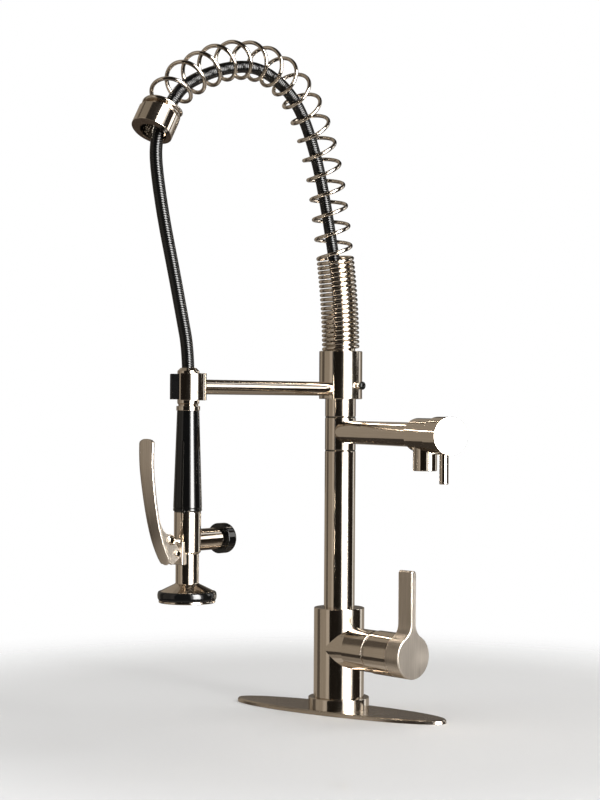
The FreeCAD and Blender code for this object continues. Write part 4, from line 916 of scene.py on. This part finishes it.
def collar_and_clip():
    turned("arm_collar", plug(22.7, 328.9, COLLAR_TOP, 0.9, 0.9), COLUMN, "spray_arm", WIDE)
    turned("arm_rod", plug(7.25, 18, 217.2, 0.2, 0.2), ARM, "spray_arm", ROD)
    clip = prism("arm_clip_open", open_ring(CLIP_OUTER, CLIP_INNER), CLIP, 326.4, 352.4, 0.7)
    dress(clip, NICKEL, "spray_arm", "arm_clip")
    liner = prism("clip_liner_open", lipped_ring(LINER_OUTER, LINER_INNER), CLIP, 327.2, 351.6, 0.5)
    dress(liner, BLACK_MATTE, "spray_arm", "clip_liner")
    turned("clamp_screw", CLAMP_HEAD, CLAMP, "spray_arm", SCREW, BLACK_GLOSS)
    piece("clamp_screw_shaft", spin(Shell(), CLAMP_SHAFT, CLAMP, SCREW), NICKEL, "spray_arm")
    turned("spring_seat", SEAT, COLUMN, "spray_arm", ROD)


collar_and_clip()

# %% [markdown]
# ## Spring
# The spring is the faucet's main piece and follows a rule: a wire wound round a curved spine, 20
# turns close together at the foot, then open turns whose pitch grows a little with each turn, and a
# closed turn on the bell. Modelling each turn by hand would never stay even, so a Geometry Nodes
# tree walks along the spine, turns round it and sweeps a round wire. The spine is a NURBS spline on
# the frame's own route points, a little lower near the bell, as in the picture.

# %% Coil tree
SPLINE_STEPS = 24


def spline_object(name, route):
    """NURBS spline with a route's points as its control points."""
    curve = bpy.data.curves.new(name, "CURVE")
    curve.dimensions = "3D"
    curve.resolution_u = SPLINE_STEPS
    spline = curve.splines.new("NURBS")
    spline.points.add(len(route) - 1)
    for point, place in zip(spline.points, route):
        point.co = (*place, 1)
    spline.order_u = 3
    spline.use_endpoint_u = True
    return link(bpy.data.objects.new(name, curve))


def swept(tree, path, sides, radius, caps):
    """Round section swept along a curve; returns the mesh's socket."""
    section = add(tree, "GeometryNodeCurvePrimitiveCircle", {"Resolution": sides, "Radius": radius},
                  mode="RADIUS")
    return add(tree, "GeometryNodeCurveToMesh", {"Curve": path, "Profile Curve": section.outputs[0],
                                                 "Fill Caps": caps}).outputs[0]


def painted(tree, shape, finish, target):
    """Smooth shading, real geometry and a finish, into a tree's output."""
    smooth = add(tree, "GeometryNodeSetShadeSmooth", {0: shape})
    real = add(tree, "GeometryNodeRealizeInstances", {0: smooth.outputs[0]})
    paint = add(tree, "GeometryNodeSetMaterial", {"Geometry": real.outputs[0], "Material": finish})
    feed(tree, target, paint.outputs[0])


def coil_tree():
    """Round wire wound about a spine: close turns, open turns whose pitch grows, end turns."""
    tree, given, put = group_tree(
        "Coil on a spine", "GeometryNodeTree",
        {"Spine": "Geometry", "Close turns": 20.0, "Close pitch": 0.005, "Open turns": 18.0,
         "Pitch gain": 0.0003, "Start": 0.002, "End turns": 1.0, "End pitch": 0.005, "End room": 0.008,
         "First angle": 0.0, "Coil radius": 0.0174, "Wire radius": 0.0018, "Steps per turn": 56,
         "Wire sides": 14, "Finish": "Material"}, {"Wire": "Geometry"})

    def do(operation, *values):
        return maths(tree, operation, *[given[v] if isinstance(v, str) else v for v in values])

    length = add(tree, "GeometryNodeCurveLength", {0: given["Spine"]}).outputs[0]
    wound_open = do("ADD", "Close turns", "Open turns")
    count = do("ADD", do("MULTIPLY", do("ADD", wound_open, "End turns"), "Steps per turn"), 1.0)
    line = add(tree, "GeometryNodeMeshLine", {"Count": count})
    turn = do("DIVIDE", add(tree, "GeometryNodeInputIndex").outputs[0], "Steps per turn")
    extra = do("MINIMUM", do("MAXIMUM", do("SUBTRACT", turn, "Close turns"), 0.0), "Open turns")
    last = do("MAXIMUM", do("SUBTRACT", turn, wound_open), 0.0)
    close_run = do("MULTIPLY", do("MINIMUM", turn, "Close turns"), "Close pitch")
    ends = do("ADD", do("MULTIPLY", "Close turns", "Close pitch"), do("MULTIPLY", "End turns", "End pitch"))
    spare = do("SUBTRACT", do("SUBTRACT", length, do("ADD", "Start", "End room")), ends)
    half_gain = do("MULTIPLY", "Pitch gain", 0.5)
    gained = do("MULTIPLY", half_gain, do("POWER", "Open turns", 2.0))
    open_pitch = do("DIVIDE", do("SUBTRACT", spare, gained), "Open turns")
    open_gain = do("MULTIPLY", half_gain, do("POWER", extra, 2.0))
    open_run = do("ADD", do("MULTIPLY", extra, open_pitch), open_gain)
    travel = do("ADD", "Start", do("ADD", close_run, open_run))
    travel = do("ADD", travel, do("MULTIPLY", last, "End pitch"))
    walk = add(tree, "GeometryNodeSampleCurve", {"Curves": given["Spine"], "Length": travel}, mode="LENGTH")
    inward = vectors(tree, "CROSS_PRODUCT", {0: RIGHT, 1: walk.outputs["Tangent"]})[0]
    angle = do("ADD", do("MULTIPLY", turn, FULL_TURN), "First angle")
    reach = do("MULTIPLY", do("COSINE", angle), "Coil radius")
    swing = vectors(tree, "SCALE", {0: inward, "Scale": reach})[0]
    sway = add(tree, "ShaderNodeCombineXYZ", {"X": do("MULTIPLY", do("SINE", angle), "Coil radius")})
    both = vectors(tree, "ADD", {0: swing, 1: sway.outputs[0]})[0]
    place = vectors(tree, "ADD", {0: walk.outputs["Position"], 1: both})[0]
    wound = add(tree, "GeometryNodeSetPosition", {"Geometry": line.outputs[0], "Position": place})
    path = add(tree, "GeometryNodeMeshToCurve", {0: wound.outputs[0]}).outputs[0]
    wire = swept(tree, path, given["Wire sides"], given["Wire radius"], True)
    painted(tree, wire, given["Finish"], put["Wire"])
    return tree


def grown(name, start, tree, sizes):
    """Runs a Geometry Nodes tree on an object and returns the result as a plain mesh object."""
    maker = start.modifiers.new(tree.name, "NODES")
    maker.node_group = tree
    for item in tree.interface.items_tree:
        if item.item_type == "SOCKET" and item.in_out == "INPUT" and item.name in sizes:
            maker[item.identifier] = sizes[item.name]
    mesh = plain_mesh(start)
    start.modifiers.clear()
    bpy.data.objects.remove(start)
    mesh.name = name
    return link(bpy.data.objects.new(name, mesh))


COIL = coil_tree()
print("coil nodes", len(COIL.nodes))

# %% [markdown]
# ## Bell
# A nickel cup closes the spring's end, as tall as the picture shows it. The ring in its mouth has a
# hole off its centre, where the hose leaves.

# %% Spring and bell
SPINE = [(0, 0), (1, 27.2), (4.5, 61.2), (10, 95.2), (18, 137.2), (29, 187.2), (52, 239.2), (88, 274.7),
         (132, 286.7), (178, 282.4), (220.8, 264.6), (254, 246.6), (270.8, 224.15), (285.5, 199.2)]
SPRING_SIZES = {"Close turns": 20.0, "Close pitch": 0.0048, "Open turns": 17.4, "Pitch gain": 0.0003,
                "End turns": 1.1, "End pitch": 0.0046, "Start": 0.0023, "End room": 0.0223,
                "First angle": -1.07, "Coil radius": 0.0178, "Wire radius": 0.0020,
                "Steps per turn": 56, "Wire sides": 14, "Finish": SPRING_WIRE}
BELL_TALL = 20.0
BELL = profile((14.1, -28), (15.4, -28, 0.4), (15.4, -BELL_TALL), (20.2, -BELL_TALL, 0.7), (20.2, 0, 0.5),
               (16, 0), (16, -14), (14.1, -14, 0.3), (14.1, -28))
LIP_OUTER, LIP_HOLE, LIP_SHIFT = 16.2, 13.2, -2.2
LIP_LEVELS = (-1.4, -0.02)


def above_collar(route):
    """Route of (out, up) in mm above the collar, as points of the frame in metres."""
    return [(0, -out * MM, (COLLAR_TOP + up) * MM) for out, up in route]


def offset_washer(name, axis, steps=72):
    """Flat ring whose hole is moved off its centre."""
    points, faces = [], []
    for level in LIP_LEVELS:
        for radius, third in ((LIP_OUTER, 0), (LIP_HOLE, LIP_SHIFT)):
            points += [axis.point(radius * c, radius * s + third, level) * MM for c, s in circle(steps)]
    for i in range(steps):
        k = (i + 1) % steps
        low_out, low_in, high_out, high_in = [(n * steps + i, n * steps + k) for n in range(4)]
        faces += [(*high_out, *high_in[::-1]), (*low_out[::-1], *low_in),
                  (*low_out, *high_out[::-1]), (*low_in[::-1], *high_in)]
    washer = mesh_object(name, points, faces, smooth=False)
    store_grain(washer.data, points)
    return washer


def spring_and_bell():
    spine = spline_object("spring_spine", above_collar(SPINE))
    spring = grown("spring_wound", spine, COIL, SPRING_SIZES)
    dress(spring, SPRING_WIRE, "spray_arm", "spring")
    last, end = (Vector(place) for place in above_collar(SPINE[-2:]))
    bell_axis = Axis(end / MM, end - last, RIGHT)
    turned("spring_bell", BELL, bell_axis, "spray_arm", FINE)
    dress(offset_washer("spring_bell_lip", bell_axis), NICKEL, "spray_arm")
    return len(spring.data.polygons)


print("spring faces", spring_and_bell())

# %% [markdown]
# ## Valve spring
# The same tree winds the small spring behind the plunger, inside the bonnet, between the handset
# and the plunger.

# %% Valve spring
VALVE_WIRE = 0.0006
VALVE_TURNS = 5.0


def valve_spring():
    low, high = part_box("valve_spring")
    level = (low.z + high.z) / 2
    disc, seat = Vector((0, low.y, level)), Vector((0, high.y, level))
    spine = spline_object("valve_spring_spine", [disc.lerp(seat, i / 3) for i in range(4)])
    wound = grown("valve_spring_wound", spine, COIL, {
        "Close turns": 0.0, "Open turns": VALVE_TURNS, "Pitch gain": 0.0, "End turns": 0.0,
        "Start": VALVE_WIRE, "End room": VALVE_WIRE, "First angle": 0.0,
        "Coil radius": (high.x - low.x) / 2 - VALVE_WIRE, "Wire radius": VALVE_WIRE,
        "Steps per turn": 40, "Wire sides": 12, "Finish": SPRING_WIRE})
    dress(wound, SPRING_WIRE, None, "valve_spring")
    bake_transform(wound)
    return len(wound.data.polygons)


print("valve spring faces", valve_spring())

# %% [markdown]
# ## Hose
# The hose has a black woven jacket, 12 mm thick. It runs inside the spring from the collar to the
# bell, leaves through the bell's mouth and hangs down to the handset. Each stretch is a tube swept
# along points read from a NURBS spline on the route's points.

# %% Hose
HOSE_RADIUS = 6.0
HOSE_ARCH = [(0, -16.7), (0, 10), (2, 39.2), (7.5, 75.2), (15.5, 109.2), (26, 149.2), (41, 197.2),
             (67, 245.9), (101, 270.5), (140, 280.5), (182, 273.4), (222, 258.5), (251.5, 241.5),
             (265.5, 220)]
HOSE_DROP = [(265.5, 220), (271.94, 210.11), (276.6, 199), (279.2, 187.3), (279.5, 173), (275, 147),
             (267, 113), (254, 69.2), (243, 29.2), (233, -7.3), (233, -43.3)]


def spline_points(name, route):
    """Points along a route's NURBS spline, and the spline is removed."""
    thing = spline_object(name, route)
    mesh = plain_mesh(thing)
    points = [v.co.copy() for v in mesh.vertices]
    bpy.data.objects.remove(thing)
    bpy.data.meshes.remove(mesh)
    return points


def hose_tube(name, points, radius, sides=32):
    """Closed tube along points that lie in a plane of constant X, with a UV map for its jacket."""
    rings, faces, spots, run = [], [], [], [0.0]
    side = Vector(RIGHT)
    for a, b in zip(points, points[1:]):
        run.append(run[-1] + (b - a).length)
    for i, point in enumerate(points):
        ahead = (points[min(i + 1, len(points) - 1)] - points[max(i - 1, 0)]).normalized()
        over = ahead.cross(side)
        rings += [point + (side * c + over * s) * radius for c, s in circle(sides)]
    for i in range(len(points) - 1):
        for j in range(sides):
            k = (j + 1) % sides
            faces.append((i * sides + j, (i + 1) * sides + j, (i + 1) * sides + k, i * sides + k))
            near, far = j / sides, (j + 1) / sides
            spots += [(near, run[i]), (near, run[i + 1]), (far, run[i + 1]), (far, run[i])]
    faces.append(list(range(sides)))
    faces.append([(len(points) - 1) * sides + j for j in range(sides)][::-1])
    spots += [(0.0, 0.0)] * (2 * sides)
    tube = mesh_object(name, rings, faces)
    for loop, spot in zip(tube.data.uv_layers.new(name="jacket").data, spots):
        loop.uv = spot
    return tube, run[-1]


def hoses():
    route = spline_points("arch_route", above_collar(HOSE_ARCH))
    arch, arch_length = hose_tube("hose_arch_braided", route, HOSE_RADIUS * MM)
    dress(arch, HOSE_JACKET, "spray_arm", "hose_arch")
    path = spline_points("drop_route", above_collar(HOSE_DROP))
    drop, drop_length = hose_tube("hose_drop_braided", path, HOSE_RADIUS * MM)
    dress(drop, HOSE_JACKET, None, "hose_drop")
    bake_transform(drop)
    return arch_length, drop_length


print("hose lengths", hoses())

# %% [markdown]
# ## Handset
# The handset hangs upright in the clip: a nickel neck with a band, a gloss black grip that widens
# downwards, the spray body with a lug and a narrow flange for the trigger, a bonnet for the valve's
# spring on its back with a black cap, and a conical nozzle with a thick rubber rim.

# %% Handset profiles
NOZZLE_RADIUS = 26.0
FLARE_LOW, FLARE_TOP, FLARE_NECK = 143.7, 152.0, 11.2
RIM_INNER, RIM_LOW, RIM_BULGE = 26.05, 135.15, 2.4
RIM_FULLNESS = 0.7
GRIP_LOW, GRIP_TOP = 219.5, 316.5
NECK = profile((0, GRIP_TOP), (11.4, GRIP_TOP, 0.5), (11.4, 321, 0.5), (9.55, 321), (9.55, 322.5, 0.2),
               (10.55, 323.5, 0.3), (10.55, 354.5, 0.8), (7.55, 357.5, 0.6), (6.2, 357.5, 0.3), (6.2, 345.5),
               (0, 345.5))
GRIP = profile((0, GRIP_LOW), (12.4, GRIP_LOW, 0.4), (13.9, 221, 0.6), (13.85, 222.6, 0.3),
               (13.3, 223.2, 0.2), (13.8, 223.8, 0.3), (10.7, GRIP_TOP, 0.5), (0, GRIP_TOP))
SPRAY_BODY = profile((0, FLARE_TOP), (FLARE_NECK, FLARE_TOP), (FLARE_NECK, 179.5, 0.8), (13, 181.3, 0.8),
                     (13, GRIP_LOW, 0.3), (0, GRIP_LOW))
CAP = profile((0, 43.5), (14.8, 43.5, 0.6), (14.8, 56, 3.5), (0, 56))
# An inner cup, a lip under the rim and a cone up to the neck
NOZZLE = profile((0, 141.7), (24, 141.7), (24, 132.7, 0.3), (27.2, 132.7, 0.7), (27.2, 135.1, 0.7),
                 (NOZZLE_RADIUS, 135.1), (NOZZLE_RADIUS, FLARE_LOW, 0.5), (FLARE_NECK, FLARE_TOP - 1, 1.5),
                 (FLARE_NECK, FLARE_TOP), (0, FLARE_TOP))


def smooth_profile(points, first, last):
    """Strips through points, with averaged normals at the points from first to last."""
    ways = [(Vector(b) - Vector(a)).normalized() for a, b in zip(points, points[1:])]
    outs = [Vector((w.y, -w.x)) for w in ways]
    strips = []
    for i, out in enumerate(outs):
        start = (outs[i - 1] + out).normalized() if first <= i <= last else out
        end = (out + outs[i + 1]).normalized() if first <= i + 1 <= last else out
        strips.append((Vector(points[i]), start, Vector(points[i + 1]), end))
    return strips


def swelling_rim(steps=16):
    """Profile of the rubber rim: a half-round bulge on a straight inner wall."""
    half = (FLARE_LOW - RIM_LOW) / 2
    middle = (FLARE_LOW + RIM_LOW) / 2
    points = [(RIM_INNER, RIM_LOW)]
    for i in range(1, steps):
        a = -math.pi / 2 + math.pi * i / steps
        points.append((RIM_INNER + RIM_BULGE * math.cos(a) ** RIM_FULLNESS, middle + half * math.sin(a)))
    points += [(RIM_INNER, FLARE_LOW), (RIM_INNER, RIM_LOW)]
    return smooth_profile(points, 1, steps - 1)


# %% Handset
BONNET = Axis((0, -233, 192), (0, 1, 0), UP)
LUG = Axis((0, -233, 181), RIGHT, UP)
LUG_RADIUS, LUG_OUT, LUG_ROOT, LUG_HALF = 5.5, 21.5, 8.0, 4
FLANGE_HALF, FLANGE_ROOT, FLANGE_OUT = 7, 6, 14.4
FLANGE_LOW, FLANGE_HIGH = 169.5, 191.5


def lug_outline(steps=18):
    """Side view of the trigger's lug on the spray body: up and out from the handset's axis."""
    turns = [math.pi * i / steps for i in range(steps + 1)]
    nose = [(-LUG_RADIUS * math.cos(a), LUG_OUT + LUG_RADIUS * math.sin(a)) for a in turns]
    return oriented([(-LUG_RADIUS, LUG_ROOT)] + nose + [(LUG_RADIUS, LUG_ROOT)])


def handset():
    turned("handset_neck", NECK, HANDSET, "handset")
    turned("handset_grip", GRIP, HANDSET, "handset", finish=BLACK_GLOSS)
    turned("spray_body", SPRAY_BODY, HANDSET, "handset")
    dress(prism("spray_body_lug", lug_outline(), LUG, -LUG_HALF, LUG_HALF, 0.6), NICKEL, "handset")
    outline = [(-FLANGE_HALF, -FLANGE_OUT), (FLANGE_HALF, -FLANGE_OUT), (FLANGE_HALF, -FLANGE_ROOT),
               (-FLANGE_HALF, -FLANGE_ROOT)]
    flange = prism("spray_body_flange", outline, HANDSET, FLANGE_LOW, FLANGE_HIGH, 0.8)
    dress(flange, NICKEL_SATIN, "handset")
    turned("bonnet", plug(10.6, 6, 47.5, 0.2, 0.4), BONNET, "handset")
    turned("bonnet_cap", CAP, BONNET, "handset", finish=BLACK_GLOSS)
    turned("nozzle_bell", NOZZLE, HANDSET, "handset", FINE)
    turned("nozzle_rim", swelling_rim(), HANDSET, "handset", FINE, RIM_RUBBER)


handset()

# %% [markdown]
# ## Spray face
# The spray plate has one hole in its middle and three rings of holes round it. Each has a small
# rubber collar, which can be rubbed clean. They repeat, so a Geometry Nodes tree sets one collar on
# every point of the pattern.

# %% Spray collars
SPRAY_RINGS = ((1, 0.0), (6, 5.28), (12, 10.56), (18, 15.84))
SPRAY_FACE = 134.2
COLLAR_SIDES = 8


def collar_tree():
    """A small round collar on every point of a mesh."""
    tree, given, put = group_tree(
        "Collars on points", "GeometryNodeTree",
        {"Points": "Geometry", "Collar radius": 0.0014, "Collar thickness": 0.0005, "Collar steps": 16,
         "Finish": "Material"}, {"Collars": "Geometry"})
    hoop = add(tree, "GeometryNodeCurvePrimitiveCircle",
               {"Resolution": given["Collar steps"], "Radius": given["Collar radius"]}, mode="RADIUS")
    collar = swept(tree, hoop.outputs[0], COLLAR_SIDES, given["Collar thickness"], False)
    spread = add(tree, "GeometryNodeInstanceOnPoints", {"Points": given["Points"], "Instance": collar})
    painted(tree, spread.outputs[0], given["Finish"], put["Collars"])
    return tree


def spray_collars():
    points = [HANDSET.point(radius * c, radius * s, SPRAY_FACE) * MM
              for count, radius in SPRAY_RINGS for c, s in circle(count)]
    start = link(mesh_object("spray_points", points, [], smooth=False))
    collars = grown("spray_collars", start, collar_tree(), {"Finish": RUBBER})
    dress(collars, RUBBER, "handset")
    return len(points)


print("spray collars", spray_collars())

# %% [markdown]
# ## Trigger
# The trigger is a strap of satin nickel that stands along the grip, with two cheeks that hold it on
# its pivot pin and a push pin between them, which presses the plunger. The strap is a loft: one
# rounded section walks along a smooth line, grows wider upwards and narrows to a round at both
# ends. The cheeks are plates with a curved outline, extruded and bevelled.

# %% Trigger
PIVOT = Axis((0, -254.5, 181), RIGHT, UP)
PUSH_PIN = Axis((0, -262.5, 194), RIGHT, UP)
STRAP_LINE = [(6.5, -10), (16.5, 5), (25.5, 31), (32, 63), (35.5, 91), (34, 109)]
STRAP_WIDTH, STRAP_THICK, STRAP_SWELL = 14.4, 4.2, 0.30
STRAP_TOP_END = 1.6     # the top's round is that much shorter than the foot's
STRAP_TIP, STRAP_TIP_THICK, STRAP_TIP_RUN = 0.3, 0.35, 3
STRAP_SQUARENESS = 0.45
STRAP_END_STEPS, STRAP_STEPS = 10, 40
CHEEK = [(24, 33), (20.5, 26), (16.5, 21.3), (12.2, 18.9), (7.5, 18.6), (3.6, 16.6), (2.2, 12.5), (1, 8.5),
         (-2.8, 5.2), (-5.4, 1.5), (-5.2, -2.5), (-2.5, -5.4), (1.5, -7.5), (5.5, -10.2), (8.5, -9),
         (13, -2.5), (17.2, 5), (20.5, 14), (23.4, 23)]
CHEEKS = (("trigger_cheek_left", -6.9), ("trigger_cheek_right", 4.3))
CHEEK_THICK = 2.6
PUSH_PROFILE = profile(
    (0, -8.4), (3.0, -8.3, 0.3), (3.3, -7.5), (3.7, -7.5), (4.0, -8.3, 0.2), (4.7, -8.3, 0.3),
    (4.7, -6.9, 0.2), (2.6, -6.9), (2.6, 6.9), (4.7, 6.9, 0.2), (4.7, 8.3, 0.3), (4.0, 8.3, 0.2),
    (3.7, 7.5), (3.3, 7.5), (3.0, 8.3, 0.3), (0, 8.4))
PIVOT_PROFILE = profile((0, -8.9), (3, -8.9, 0.5), (3, -7.5, 0.2), (2, -7.5), (2, 7.5), (3, 7.5, 0.2),
                        (3, 8.9, 0.5), (0, 8.9))


def along_line(points, distance):
    """Place and direction at a distance along points."""
    for a, b in zip(points, points[1:]):
        step = (b - a).length
        if distance <= step or b is points[-1]:
            way = (b - a).normalized()
            return a + way * min(distance, step), way
        distance -= step


def strap_stations(length, radius):
    """Distances along the strap, closer together in its round ends."""
    ends = [radius * (1 - math.cos(math.pi / 2 * i / STRAP_END_STEPS)) for i in range(STRAP_END_STEPS)]
    middle = [radius + (length - 2 * radius) * i / STRAP_STEPS for i in range(STRAP_STEPS)]
    return sorted({round(s, 4) for s in ends + middle + [length - s for s in ends]})


def squared(value):
    """Coordinate of a circle pushed out towards a square."""
    return math.copysign(abs(value) ** STRAP_SQUARENESS, value)


def strap_loft(name, sides=28):
    """Strap with a rounded section that follows its line and narrows in a round at each end."""
    line = spline_points("strap_line", [tuple(PIVOT.point(up, out, 0) * MM) for out, up in STRAP_LINE])
    line = [p / MM for p in line]
    length = sum((b - a).length for a, b in zip(line, line[1:]))
    radius = STRAP_WIDTH / 2
    points, grains, faces = [], [], []
    stations = strap_stations(length, radius)
    for distance in stations:
        place, way = along_line(line, distance)
        over = way.cross(Vector(RIGHT))
        near = min(distance, STRAP_TOP_END * (length - distance), radius)
        half = max(math.sqrt(radius ** 2 - (radius - near) ** 2), STRAP_TIP)
        thick = STRAP_THICK / 2 * min(1.0, STRAP_TIP_THICK + half / STRAP_TIP_RUN)
        swell = 1 + STRAP_SWELL * (distance / length) ** 2
        for c, s in circle(sides):
            side, lift = squared(c) * half * swell, squared(s) * thick
            points.append((place + Vector((side, 0, 0)) + over * lift) * MM)
            grains.append((side * MM, lift * MM, distance * MM * BRUSH_STRETCH))
    for i in range(len(stations) - 1):
        for j in range(sides):
            k = (j + 1) % sides
            faces.append((i * sides + j, i * sides + k, (i + 1) * sides + k, (i + 1) * sides + j))
    faces.append(list(range(sides))[::-1])
    faces.append([(len(stations) - 1) * sides + j for j in range(sides)])
    strap = mesh_object(name, points, faces)
    store_grain(strap.data, grains)
    return strap


def curved(corners, parts=4):
    """Closed smooth outline through corners."""
    count = len(corners)
    outline = []
    for i in range(count):
        before, here, after, beyond = (Vector(corners[(i + k) % count]) for k in (-1, 0, 1, 2))
        for j in range(parts):
            t = j / parts
            outline.append(tuple(0.5 * (2 * here + (after - before) * t
                                        + (2 * before - 5 * here + 4 * after - beyond) * t ** 2
                                        + (3 * here - before - 3 * after + beyond) * t ** 3)))
    return outline


def trigger():
    dress(strap_loft("trigger_strap"), NICKEL_SATIN, "trigger", "trigger_lever")
    outline = oriented([(up, out) for out, up in curved(CHEEK)])
    for name, low in CHEEKS:
        dress(prism(name, outline, PIVOT, low, low + CHEEK_THICK, 0.5), NICKEL_SATIN, "trigger")
    piece("trigger_push_pin", spin(Shell(), PUSH_PROFILE, PUSH_PIN, PIN), NICKEL, "trigger")
    turned("trigger_pin", PIVOT_PROFILE, PIVOT, "handset", PIN)


trigger()

# %% [markdown]
# ## Finish what stays
# The remaining CAD nodes keep their shapes and get the finish of the slot that the record names for
# them, and the plunger's stem is plain steel.

# %% Finish the CAD nodes


def finish_nodes():
    finishes = {row["node"]: SLOT_FINISHES[row["material_slot"]][0] for row in frame["record"]["subparts"]}
    finishes["plunger_stem"] = STEEL
    finishes["hose_arch"] = finishes["hose_drop"] = RUBBER    # hidden, with no UV map for the jacket
    for name, thing in frame["nodes"].items():
        thing.data.materials.clear()
        thing.data.materials.append(finishes[name])
    return sorted(n for n, thing in frame["nodes"].items() if not thing.hide_render)


print("CAD nodes shown", finish_nodes())

# %% [markdown]
# ## View transform
# The scene is shown through Blender's Standard view transform. The dressed model has to stay
# in the CAD model's box.

# %% View transform
scene.view_settings.view_transform = "Standard"
